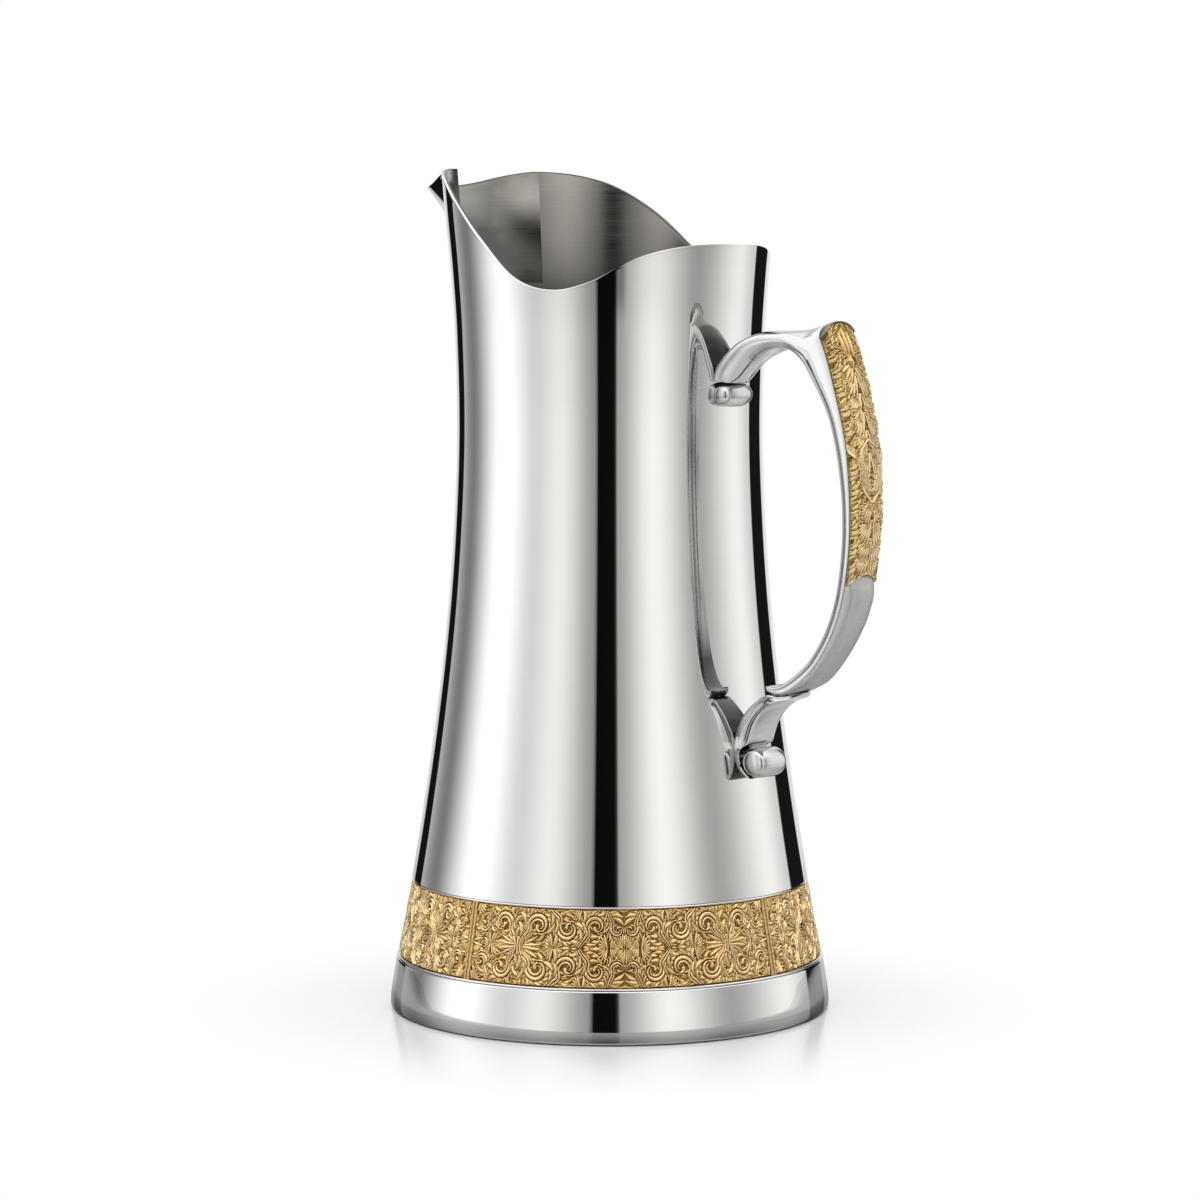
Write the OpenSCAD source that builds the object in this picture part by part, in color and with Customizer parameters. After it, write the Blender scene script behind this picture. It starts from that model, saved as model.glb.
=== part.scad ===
// Polished steel serving jug with a cast gilt band round the foot and a
// cast gilt plaque on the handle. Millimetres, +Z up.
// Origin: centre of the base, on the resting plane.
// +X points to the handle, -X to the spout.

/* [Body] */
// Outer radius of the wall just above the gilt band
skirt_r = 62.1; // [60:0.1:63]
// Outer radius of the wall at the waist
waist_r = 47.5; // [46:0.1:49]
// Outer radius of the wall at the top of the mouth
mouth_r = 52.7; // [51:0.1:54]
// Thickness of the sheet wall
wall_t = 1.6; // [1:0.1:1.8]

/* [Rim] */
// Height of the rim at the shoulders of the spout
rim_high = 261.6; // [256:0.1:265]
// Height of the rim at its lowest point
rim_dip = 223.7; // [218:0.1:228]
// Height of the rim above the handle
rim_back = 237.6; // [232:0.1:242]

/* [Spout] */
// Half angle of the opening that the spout fills
spout_angle = 22; // [18:0.5:26]
// Distance of the spout's tip from the axis
spout_reach = 77.6; // [70:0.1:80]
// Height of the spout's tip below the shoulders of the rim
spout_drop = 4.8; // [3:0.1:6]
// Height at which the spout runs out into the wall
spout_root = 226; // [216:1:232]

/* [Foot] */
// Largest outer radius of the foot
foot_r = 68.8; // [68.2:0.1:70]
// Inner radius of the resting face
foot_in_r = 62; // [58:0.5:63]
// Height of the foot
foot_h = 16.2; // [15.8:0.1:16.4]
// Height of the vessel's floor above the resting plane
floor_z = 9; // [7:0.5:11]

/* [Gilt band] */
// Height of the lower edge of the panels
band_z0 = 16.9; // [16.8:0.1:17.4]
// Height of the upper edge of the panels
band_z1 = 40; // [39:0.1:40.2]
// Outer radius of the panels at their lower edge
band_r0 = 66.3; // [65.8:0.1:66.5]
// Outer radius of the panels at their upper edge
band_r1 = 61.9; // [61.7:0.1:62.3]
// Thickness of the panels
band_t = 2; // [1.6:0.1:2.2]
// Width of the upright beads over the joints
joint_w = 2.4; // [1.6:0.1:3]

/* [Handle] */
// Width of the upper arm and of the top of the strap
arm_w = 14; // [12:0.5:16]
// Width of the lower end of the strap and of the bracket
strap_w = 12.4; // [11:0.2:14]
// Radius of the upper bead
upper_bead_r = 3.7; // [3.3:0.1:3.9]
// Length of the upper bead
upper_bead_l = 14.2; // [13:0.2:15]
// Radius of the lower bead
lower_bead_r = 4.6; // [4.3:0.1:4.7]
// Length of the lower bead
lower_bead_l = 13; // [12:0.2:14]

/* [Fixings] */
// Radius of the handle screws
screw_r = 1.5; // [1.2:0.1:1.6]
// Radius of the screw heads
head_r = 2.8; // [2.4:0.1:3]
// Radius of the soft washers
seal_r = 3.4; // [3.2:0.1:3.8]
// Radius of the plaque's pins and of the dowel
pin_r = 0.9; // [0.7:0.1:1]

/* [Hidden] */
$fn = 96;

// ---- curves --------------------------------------------------------------

// Smooth curve y(x) through points with rising x
function seg(p, x, i = 0) = (i >= len(p) - 2 || x < p[i + 1][0]) ? i : seg(p, x, i + 1);
function slope(p, i) = let (a = max(i - 1, 0), b = min(i + 1, len(p) - 1))
    (p[b][1] - p[a][1]) / (p[b][0] - p[a][0]);
function curve_y(p, x) = let (i = seg(p, x), h = p[i + 1][0] - p[i][0], t = (x - p[i][0]) / h,
    m0 = slope(p, i) * h, m1 = slope(p, i + 1) * h)
    (2*t*t*t - 3*t*t + 1) * p[i][1] + (t*t*t - 2*t*t + t) * m0
    + (3*t*t - 2*t*t*t) * p[i + 1][1] + (t*t*t - t*t) * m1;

// Smooth path through points of a plane, n steps to a span
function cr(a, b, c, d, t) = 0.5 * (2*b + (c - a)*t + (2*a - 5*b + 4*c - d)*t*t + (3*b - a - 3*c + d)*t*t*t);
function path(p, n = 3) = let (e = len(p) - 1)
    concat([for (i = [0 : e - 1], j = [0 : n - 1])
        cr(p[max(i - 1, 0)], p[i], p[i + 1], p[min(i + 2, e)], j / n)], [p[e]]);

// ---- body ----------------------------------------------------------------

// Outer radius of the wall over height, as shares of the flare below and above the waist
flare0 = skirt_r - waist_r;
flare1 = mouth_r - waist_r;
wall_pts = [[40, skirt_r], [60, waist_r + 0.774*flare0], [90, waist_r + 0.473*flare0],
    [120, waist_r + 0.233*flare0], [150, waist_r + 0.075*flare0], [180, waist_r],
    [210, waist_r + 0.115*flare1], [230, waist_r + 0.365*flare1],
    [246, waist_r + 0.65*flare1], [268, mouth_r]];
function wall_r(z) = curve_y(wall_pts, z);

// Height of the rim over x, seen from the side
rim_f = rim_high - rim_dip;
rim_b = rim_back - rim_dip;
rim_pts = [[-90, rim_high - spout_drop], [-77, rim_high - spout_drop], [-68, rim_high - 0.8*spout_drop],
    [-57, rim_high - 0.24*spout_drop], [-48, rim_high], [-41, rim_dip + 0.975*rim_f],
    [-32.5, rim_dip + 0.885*rim_f], [-21.5, rim_dip + 0.685*rim_f], [-8.5, rim_dip + 0.39*rim_f],
    [4.5, rim_dip + 0.09*rim_f], [17, rim_dip], [28, rim_dip + 0.2*rim_b],
    [38, rim_dip + 0.675*rim_b], [45.5, rim_dip + 0.915*rim_b], [50.5, rim_back], [60, rim_back + 1.4]];
function rim_z(x) = curve_y(rim_pts, x);

// Gilt band: a cone, with the wall stepped in behind it
function band_r(z) = band_r0 + (band_r1 - band_r0) * (z - band_z0) / (band_z1 - band_z0);
function seat_r(z) = band_r(z) - band_t;
ring_h = 0.8;
step_z = band_z1 + ring_h;
foot_seat_r = seat_r(foot_h);
flange_t = 3.2;

// Heights at which the wall is drawn
wall_zs = [for (z = [45 : 5 : 270]) z];

module body_outline(inset) {
    polygon(concat(
        [[0, flange_t], [foot_seat_r - inset, flange_t], [foot_seat_r - inset, foot_h],
         [seat_r(step_z) - inset, step_z + (inset > 0 ? -0.6 : 0)],
         [wall_r(step_z) - inset, step_z + (inset > 0 ? 1.2 : 0)]],
        [for (z = wall_zs) [wall_r(z) - inset, z]],
        [[0, 270]]));
}
module body_solid() { rotate_extrude() body_outline(0); }
module cavity_solid() { rotate_extrude() body_outline(wall_t); }

// Everything above the rim, seen from the side
module above_rim() {
    rotate([90, 0, 0]) linear_extrude(140, center = true)
        polygon(concat([for (x = [-60 : 3 : 60]) [x, rim_z(x)]], [[60, 290], [-60, 290]]));
}

module spout_opening() {
    w = 90 * tan(spout_angle);
    translate([0, 0, spout_root]) linear_extrude(100) polygon([[0, 0], [-90, w], [-90, -w]]);
}

// ---- spout ---------------------------------------------------------------

// Share of the reach across the opening: a fold with a rounded keel
fold_soft = 0.1;
function fold(t) = (sqrt(1 + fold_soft*fold_soft) - sqrt(t*t + fold_soft*fold_soft))
    / (sqrt(1 + fold_soft*fold_soft) - fold_soft);
tip_z = rim_high - spout_drop;
tip_e = spout_reach - wall_r(tip_z);
keel_soft = 0.06;
function rise(s) = (sqrt(s*s + keel_soft*keel_soft) - keel_soft) / (sqrt(1 + keel_soft*keel_soft) - keel_soft);
function keel(z) = tip_e * rise(max(z - spout_root, 0) / (tip_z - spout_root));
function spout_x(t, z, inset) = -(wall_r(z) - inset) * cos(t*spout_angle) - keel(z) * fold(t);
function spout_y(t, z, inset) = (wall_r(z) - inset) * sin(t*spout_angle);
function spout_top(t, inset, z, n = 6) = n == 0 ? z : spout_top(t, inset, rim_z(spout_x(t, z, inset)), n - 1);

sp_n = 28;
sp_m = 20;
function spout_grid(inset) = [for (j = [0 : sp_m], i = [0 : sp_n])
    let (t = 2*i/sp_n - 1, top = spout_top(t, inset, rim_high - 2),
         z = spout_root + (top - spout_root) * j / sp_m)
    [spout_x(t, z, inset), spout_y(t, z, inset), z]];

// ---- handle outlines, seen from the side (x, z) --------------------------

arm_top = [[43, 199], [47, 203], [50, 206], [54, 209], [58.5, 210.7], [64, 211.5], [71, 211.6],
    [77, 211.8], [81.5, 212.5], [86.4, 213.8]];
strap_seat = [[86.4, 213.8], [88, 209], [90.1, 204], [92.1, 198], [94.5, 190], [96.4, 183], [97.7, 176],
    [98.4, 168], [98.8, 160], [98.7, 151], [98.1, 144], [97, 136.8]];
strap_out = [[100.2, 137.6], [99, 132], [96.6, 126], [93, 119.8], [88.4, 113.5], [83, 107.6], [79, 104.8]];
lap = [[79, 104.8], [75, 103.2], [71, 102.8], [67.6, 103.4]];
strap_end = [[66.9, 104.4], [67.4, 105.6]];
strap_in = [[68.8, 105.1], [71.5, 105.5], [76, 107.9], [80.2, 111], [83.7, 114.4], [88, 120.6], [91, 126.8],
    [93, 132.8], [94.3, 138.8], [95.1, 144.6], [95.6, 150.5], [95.7, 156.4], [95.5, 162.2], [94.9, 168],
    [94, 174], [92.7, 179.8], [91, 185.6], [88.5, 190.9], [84.7, 196.7], [80.5, 201.9], [76.2, 205.1],
    [72, 206.1], [66.5, 204.9], [61.5, 202.6], [57.4, 199.3], [54.8, 196.8], [53, 195.6]];
plaque_out = [[89.2, 214.8], [91.5, 210.5], [93.6, 206], [95.7, 200], [97.9, 193], [100, 184.5], [101.5, 176],
    [102.3, 167.5], [102.4, 159.5], [102, 151], [101.2, 144.5], [100.2, 137.6]];

upper_bead_c = [49.4, 192.2];
lower_bead_c = [61.9, 81.5];

bracket_back = [[67.6, 103.4], [64, 101.5], [60.2, 98.6], [57.2, 95.2], [55.4, 91.5], [54.4, 87.5],
    [54.6, 84.2], [55.6, 81.2], [57.2, 78.8], [59.4, 77.2], [61, 76.7]];
bracket_front = [[60.5, 86], [60.9, 88.3], [61.5, 90.6], [62.9, 93.8], [65.5, 97.2], [69, 100],
    [73.5, 101.6], [79, 103]];

upper_screw_z = 198.6;
lower_screw_z = 88.6;

// Half width of the handle over height
module handle_width() {
    a = arm_w / 2;
    b = strap_w / 2;
    rotate([90, 0, 90]) linear_extrude(130) polygon([[-a, 220], [-a, 185], [-b, 125], [-b, 70],
        [b, 70], [b, 125], [a, 185], [a, 220]]);
}
module side_plate(pts) {
    intersection() {
        rotate([90, 0, 0]) linear_extrude(30, center = true) polygon(pts);
        handle_width();
    }
}

// Bead turned about an axis along Y
module bead(c, r, l) {
    h = l / 2;
    translate([c[0], 0, c[1]]) rotate([90, 0, 0]) rotate_extrude()
        polygon(concat([[0, -h]], [for (a = [-80 : 10 : 80]) [r * sqrt(cos(a)), h * sin(a)]], [[0, h]]));
}

// Bore or pin along X between two stations
module along_x(r, x0, x1, z) { translate([x0, 0, z]) rotate([0, 90, 0]) cylinder(r = r, h = x1 - x0); }

// Round groove across the handle, the cradle of a bead
module along_y(r, c) { translate([c[0], 0, c[1]]) rotate([90, 0, 0]) cylinder(r = r, h = 40, center = true); }

plaque_pin_z = [192, 150];
plaque_pin_x = [[92, 95.4], [96.6, 99.8]];
dowel_x = 70;
dowel_z = [101.4, 104.4];

module pins(grow = 0) {
    for (i = [0, 1]) along_x(pin_r + grow, plaque_pin_x[i][0], plaque_pin_x[i][1], plaque_pin_z[i]);
}
module dowel() { translate([dowel_x, 0, dowel_z[0]]) cylinder(r = pin_r, h = dowel_z[1] - dowel_z[0]); }

// Inner face of the soft washers and length of the screws
upper_seal_x = 45.1;
lower_seal_x = 51.7;
head_t = 1.8;

module body_shell() {
    color([0.78, 0.78, 0.78]) difference() {
        body_solid();
        cavity_below();
        above_rim();
        spout_opening();
        along_x(screw_r, 40, 60, upper_screw_z);
        along_x(screw_r, 40, 60, lower_screw_z);
    }
}
// The hollow of the vessel, carried through the bottom and the top of the wall
module cavity_below() {
    cavity_solid();
    translate([0, 0, -1]) cylinder(r = foot_seat_r - wall_t, h = flange_t + 2);
    translate([0, 0, 269]) cylinder(r = 40, h = 5);
}

module spout_panel() {
    n = sp_n + 1;
    m = sp_m + 1;
    outer = spout_grid(0);
    inner = spout_grid(wall_t);
    k = n * m;
    quads = concat(
        [for (j = [0 : sp_m - 1], i = [0 : sp_n - 1]) [j*n + i, j*n + i + 1, (j+1)*n + i + 1, (j+1)*n + i]],
        [for (j = [0 : sp_m - 1], i = [0 : sp_n - 1]) [k + j*n + i, k + (j+1)*n + i, k + (j+1)*n + i + 1, k + j*n + i + 1]],
        [for (i = [0 : sp_n - 1]) [i + 1, i, k + i, k + i + 1]],
        [for (i = [0 : sp_n - 1]) [sp_m*n + i, sp_m*n + i + 1, k + sp_m*n + i + 1, k + sp_m*n + i]],
        [for (j = [0 : sp_m - 1]) [j*n, (j+1)*n, k + (j+1)*n, k + j*n]],
        [for (j = [0 : sp_m - 1]) [(j+1)*n + sp_n, j*n + sp_n, k + j*n + sp_n, k + (j+1)*n + sp_n]]);
    color([0.72, 0.72, 0.72]) polyhedron(concat(outer, inner),
        [for (q = quads, h = [0, 1]) h == 0 ? [q[0], q[2], q[1]] : [q[0], q[3], q[2]]]);
}

module bottom_plate() {
    r = foot_seat_r - wall_t;
    color([0.6, 0.6, 0.6]) rotate_extrude() polygon([[0, floor_z], [r - wall_t, floor_z], [r - wall_t, flange_t],
        [r, flange_t], [r, floor_z + wall_t], [0, floor_z + wall_t]]);
}

module foot_ring() {
    color([0.76, 0.76, 0.76]) rotate_extrude() polygon([[foot_in_r, 0], [foot_r - 2.2, 0], [foot_r - 1, 0.4],
        [foot_r - 0.4, 1.1], [foot_r - 0.1, 2], [foot_r, 3], [foot_r - 0.1, 4.2], [foot_r - 2, foot_h],
        [foot_seat_r, foot_h], [foot_seat_r, flange_t], [foot_in_r, flange_t]]);
}

module band_upper_ring() {
    color([0.85, 0.85, 0.85]) rotate_extrude() polygon([[seat_r(band_z1), band_z1], [band_r1 + 0.1, band_z1],
        [band_r1 + 0.2, band_z1 + 0.4], [band_r1 - 0.3, step_z], [seat_r(step_z), step_z]]);
}

module band_lower_ring() {
    color([0.85, 0.85, 0.85]) rotate_extrude() polygon([[foot_seat_r, foot_h], [band_r0 + 0.5, foot_h],
        [band_r0 + 0.5, band_z0 - 0.4], [band_r0 + 0.1, band_z0], [seat_r(band_z0), band_z0]]);
}

// One quarter of the gilt band, short of the joint beads at its two ends
module band_panel(k) {
    trim = asin(joint_w / 2 / band_r(28));
    color([0.80, 0.63, 0.28]) rotate([0, 0, 90*k + trim]) rotate_extrude(angle = 90 - 2*trim)
        polygon([[seat_r(band_z0), band_z0], [band_r0, band_z0], [band_r1, band_z1], [seat_r(band_z1), band_z1]]);
}
module band_panel_1() { band_panel(0); }
module band_panel_2() { band_panel(1); }
module band_panel_3() { band_panel(2); }
module band_panel_4() { band_panel(3); }

module band_joint_strips() {
    trim = asin(joint_w / 2 / band_r(28));
    color([0.83, 0.67, 0.32]) for (k = [0 : 3]) rotate([0, 0, 90*k - trim]) rotate_extrude(angle = 2*trim)
        polygon([[seat_r(band_z0), band_z0], [band_r0 + 0.2, band_z0], [band_r1 + 0.2, band_z1], [seat_r(band_z1), band_z1]]);
}

module handle_arm() {
    color([0.80, 0.80, 0.80]) difference() {
        side_plate(concat(path(arm_top), path(strap_seat), path(strap_out), lap, strap_end, path(strap_in),
            [[49.6, 193.8], [43, 192]]));
        body_solid();
        along_y(upper_bead_r, upper_bead_c);
        along_x(screw_r, 40, 53.4, upper_screw_z);
        pins();
        dowel();
    }
}

module grip_plaque() {
    n = len(path(plaque_out));
    p = path(plaque_out);
    color([0.80, 0.63, 0.28]) difference() {
        side_plate(concat(path(strap_seat), [for (i = [n - 1 : -1 : 0]) p[i]]));
        pins();
    }
}

module plaque_pins() { color([0.7, 0.7, 0.7]) pins(); }

module lower_bracket() {
    color([0.78, 0.78, 0.78]) difference() {
        side_plate(concat(path(bracket_back), [[61.6, 77.6], [61.9, 81.5]], path(bracket_front), lap));
        body_solid();
        bead(lower_bead_c, lower_bead_r, lower_bead_l);
        along_x(screw_r, 48, 58.8, lower_screw_z);
        dowel();
    }
}

module bracket_dowel() { color([0.7, 0.7, 0.7]) dowel(); }

module upper_bead() {
    color([0.82, 0.82, 0.82]) difference() {
        bead(upper_bead_c, upper_bead_r, upper_bead_l);
        body_solid();
    }
}
module lower_bead() { color([0.82, 0.82, 0.82]) bead(lower_bead_c, lower_bead_r, lower_bead_l); }

module screw(x0, x1, z) {
    along_x(screw_r, x0 - 0.6, x1, z);
    along_x(head_r, x0 - head_t, x0, z);
}
module handle_screws() {
    color([0.7, 0.7, 0.7]) {
        screw(upper_seal_x, 53.4, upper_screw_z);
        screw(lower_seal_x, 58.8, lower_screw_z);
    }
}

module seal(x0, z) {
    difference() {
        intersection() {
            along_x(seal_r, x0, x0 + 6, z);
            cavity_solid();
        }
        along_x(screw_r, x0 - 1, x0 + 8, z);
    }
}
module seal_washers() {
    $fn = 360;
    color([0.9, 0.9, 0.88]) {
        seal(upper_seal_x, upper_screw_z);
        seal(lower_seal_x, lower_screw_z);
    }
}

body_shell();
spout_panel();
bottom_plate();
foot_ring();
band_upper_ring();
band_lower_ring();
band_panel_1();
band_panel_2();
band_panel_3();
band_panel_4();
band_joint_strips();
handle_arm();
grip_plaque();
plaque_pins();
lower_bracket();
bracket_dowel();
upper_bead();
lower_bead();
handle_screws();
seal_washers();
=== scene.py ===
import math

import bpy
import numpy as np
from mathutils import Matrix, Vector


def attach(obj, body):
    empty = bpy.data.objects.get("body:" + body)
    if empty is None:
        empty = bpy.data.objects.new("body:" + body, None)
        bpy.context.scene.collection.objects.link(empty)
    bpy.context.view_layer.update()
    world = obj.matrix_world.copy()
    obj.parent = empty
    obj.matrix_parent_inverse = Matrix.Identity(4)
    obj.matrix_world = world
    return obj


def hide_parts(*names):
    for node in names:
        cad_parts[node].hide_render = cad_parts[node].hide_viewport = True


# Polished steel serving jug with cast gilt ornament. Lengths are in millimetres
# here and become metres in add_mesh. +X handle, -X spout, +Z up.

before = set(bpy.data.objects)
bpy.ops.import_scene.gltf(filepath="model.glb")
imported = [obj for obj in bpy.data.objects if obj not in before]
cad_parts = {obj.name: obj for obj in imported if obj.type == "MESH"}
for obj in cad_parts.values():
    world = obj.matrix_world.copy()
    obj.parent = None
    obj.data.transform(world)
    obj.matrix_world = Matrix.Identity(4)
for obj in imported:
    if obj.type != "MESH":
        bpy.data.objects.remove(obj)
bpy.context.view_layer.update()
scene = bpy.context.scene
MM = 0.001

# ---- curves ----------------------------------------------------------------


def curve_y(pts, x):
    """Smooth y(x) through points with rising x."""
    p = np.asarray(pts, float)
    x = np.asarray(x, float)
    px, py = p[:, 0], p[:, 1]
    n = len(p)
    m = np.empty(n)
    m[1:-1] = (py[2:] - py[:-2]) / (px[2:] - px[:-2])
    m[0] = (py[1] - py[0]) / (px[1] - px[0])
    m[-1] = (py[-1] - py[-2]) / (px[-1] - px[-2])
    i = np.clip(np.searchsorted(px, x, side="right") - 1, 0, n - 2)
    h = px[i + 1] - px[i]
    t = (x - px[i]) / h
    return ((2 * t**3 - 3 * t**2 + 1) * py[i] + (t**3 - 2 * t**2 + t) * m[i] * h
            + (3 * t**2 - 2 * t**3) * py[i + 1] + (t**3 - t**2) * m[i + 1] * h)


def path(pts, n=8):
    """Smooth path through points, n steps to a span."""
    p = np.asarray(pts, float)
    e = len(p) - 1
    t = (np.arange(n) / n)[:, None]
    out = []
    for i in range(e):
        a, b, c, d = p[max(i - 1, 0)], p[i], p[i + 1], p[min(i + 2, e)]
        out.append(0.5 * (2 * b + (c - a) * t + (2 * a - 5 * b + 4 * c - d) * t**2
                          + (3 * b - a - 3 * c + d) * t**3))
    return np.vstack(out + [p[-1:]])


def lengths(p):
    return np.concatenate([[0], np.cumsum(np.linalg.norm(np.diff(p, axis=0), axis=1))])


def resample(p, n):
    s = lengths(p)
    k = np.linspace(0, s[-1], n)
    return np.stack([np.interp(k, s, p[:, j]) for j in range(p.shape[1])], 1)


def smooth(a, b, x):
    t = np.clip((np.asarray(x, float) - a) / (b - a), 0, 1)
    return t * t * (3 - 2 * t)


def fillet(corners, n=5):
    """Closed outline with rounded corners: (x, y, radius) each."""
    c = [np.array(k[:2], float) for k in corners]
    out = []
    for i, k in enumerate(corners):
        a, b, d = c[i - 1], c[i], c[(i + 1) % len(c)]
        if k[2] <= 0:
            out.append(b)
            continue
        u, v = a - b, d - b
        ru = min(k[2], 0.48 * np.linalg.norm(u))
        rv = min(k[2], 0.48 * np.linalg.norm(v))
        s, e = b + u / np.linalg.norm(u) * ru, b + v / np.linalg.norm(v) * rv
        for t in np.linspace(0, 1, n):
            out.append((1 - t) ** 2 * s + 2 * t * (1 - t) * b + t * t * e)
    return np.array(out)


# ---- the jug's own measures ------------------------------------------------

WALL_T = 1.6
WALL = [(40, 62.1), (60, 58.8), (90, 54.41), (120, 50.9), (150, 48.6), (180, 47.5),
        (210, 48.1), (230, 49.4), (246, 50.88), (268, 52.7)]
RIM = [(-90, 256.8), (-77, 256.8), (-68, 257.76), (-57, 260.45), (-48, 261.6), (-41, 260.65),
       (-32.5, 257.24), (-21.5, 249.66), (-8.5, 238.48), (4.5, 227.11), (17, 223.7), (28, 226.48),
       (38, 233.08), (45.5, 236.42), (50.5, 237.6), (60, 239.0)]
SPOUT_A, SPOUT_ROOT, TIP_Z, REACH = 22.0, 226.0, 256.8, 77.6
BAND_Z0, BAND_Z1, BAND_R0, BAND_R1, BAND_T = 16.9, 40.0, 66.3, 61.9, 2.0
STEP_Z, FOOT_H, FLANGE = 40.8, 16.2, 3.2


def wall_r(z):
    return curve_y(WALL, z)


def rim_z(x):
    return curve_y(RIM, x)


def band_r(z):
    return BAND_R0 + (BAND_R1 - BAND_R0) * (z - BAND_Z0) / (BAND_Z1 - BAND_Z0)


def seat_r(z):
    return band_r(z) - BAND_T


SEAT_R = float(seat_r(FOOT_H))
TIP_E = REACH - float(wall_r(TIP_Z))

# ---- meshes ----------------------------------------------------------------


def add_mesh(name, verts, faces, mats, replaces=(), face_mat=None, sharp=38, attrs=None):
    me = bpy.data.meshes.new(name)
    me.from_pydata((np.asarray(verts, float) * MM).tolist(), [], faces)
    me.update()
    me.calc_loop_triangles()
    tri = np.empty(len(me.loop_triangles) * 3, np.int32)
    me.loop_triangles.foreach_get("vertices", tri)
    a, b, c = (np.asarray(verts, float)[tri.reshape(-1, 3)[:, k]] for k in range(3))
    if np.einsum("ij,ij->i", a, np.cross(b, c)).sum() < 0:
        me.flip_normals()
    for m in mats:
        me.materials.append(m)
    if face_mat is not None:
        me.polygons.foreach_set("material_index", np.asarray(face_mat, np.int32))
    me.polygons.foreach_set("use_smooth", np.ones(len(me.polygons), bool))
    if sharp:
        me.set_sharp_from_angle(angle=math.radians(sharp))
    for key, val in (attrs or {}).items():
        at = me.attributes.new(key, "FLOAT", "POINT")
        at.data.foreach_set("value", np.asarray(val, np.float32))
    me.update()
    o = bpy.data.objects.new(name, me)
    scene.collection.objects.link(o)
    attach(o, "root")
    if replaces:
        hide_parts(*replaces)
    return o


def lathe(profile, n=360, axis="z"):
    """Closed outline (r, h) turned about an axis: vertices and faces."""
    p = np.asarray(profile, float)
    a = np.linspace(0, 2 * np.pi, n, endpoint=False)
    k = len(p)
    v = np.empty((k, n, 3))
    v[..., 0] = p[:, :1] * np.cos(a)
    v[..., 1] = p[:, :1] * np.sin(a)
    v[..., 2] = p[:, 1:]
    idx = np.arange(k * n).reshape(k, n)
    up, nx = np.roll(idx, -1, 0), np.roll(idx, -1, 1)
    f = np.stack([idx, nx, np.roll(up, -1, 1), up], -1).reshape(-1, 4)
    return v.reshape(-1, 3), f.tolist()


def loft(rings):
    """Closed loops of equal count along a path, with a cap at both ends."""
    r = np.asarray(rings, float)
    s, n = r.shape[:2]
    idx = np.arange(s * n).reshape(s, n)
    nx = np.roll(idx, -1, 1)
    f = np.stack([idx[:-1], nx[:-1], nx[1:], idx[1:]], -1).reshape(-1, 4).tolist()
    f.append(idx[0][::-1].tolist())
    f.append(idx[-1].tolist())
    return r.reshape(-1, 3), f


# ---- materials -------------------------------------------------------------


def new_mat(name):
    m = bpy.data.materials.new(name)
    m.use_nodes = True
    nt = m.node_tree
    return m, nt, nt.nodes["Principled BSDF"]


def nd(nt, kind, **vals):
    n = nt.nodes.new(kind)
    for k, v in vals.items():
        if k in n.inputs:
            n.inputs[k].default_value = v
        else:
            setattr(n, k, v)
    return n


def noise(nt, coord, scale, detail=3.0, rough=0.5, stretch=None):
    src = coord
    if stretch:
        mp = nd(nt, "ShaderNodeMapping")
        mp.inputs["Scale"].default_value = stretch
        nt.links.new(coord, mp.inputs["Vector"])
        src = mp.outputs["Vector"]
    n = nd(nt, "ShaderNodeTexNoise", Scale=scale, Detail=detail, Roughness=rough)
    nt.links.new(src, n.inputs["Vector"])
    return n.outputs["Fac"]


def span(nt, src, lo, hi, a=0.3, b=0.7):
    n = nd(nt, "ShaderNodeMapRange")
    n.inputs["From Min"].default_value = a
    n.inputs["From Max"].default_value = b
    n.inputs["To Min"].default_value = lo
    n.inputs["To Max"].default_value = hi
    nt.links.new(src, n.inputs["Value"])
    return n.outputs["Result"]


def calc(nt, op, a, b):
    n = nd(nt, "ShaderNodeMath", operation=op)
    for i, s in enumerate((a, b)):
        if isinstance(s, (int, float)):
            n.inputs[i].default_value = s
        else:
            nt.links.new(s, n.inputs[i])
    return n.outputs[0]


def ramp(nt, src, stops, mode="LINEAR"):
    n = nd(nt, "ShaderNodeValToRGB")
    cr = n.color_ramp
    cr.interpolation = mode
    while len(cr.elements) < len(stops):
        cr.elements.new(0.5)
    for e, (p, c) in zip(cr.elements, stops):
        e.position = p
        e.color = (*c, 1.0)
    nt.links.new(src, n.inputs["Fac"])
    return n.outputs["Color"]


def bump(nt, bsdf, src, strength, dist):
    n = nd(nt, "ShaderNodeBump", Strength=strength, Distance=dist)
    nt.links.new(src, n.inputs["Height"])
    nt.links.new(n.outputs["Normal"], bsdf.inputs["Normal"])


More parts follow.
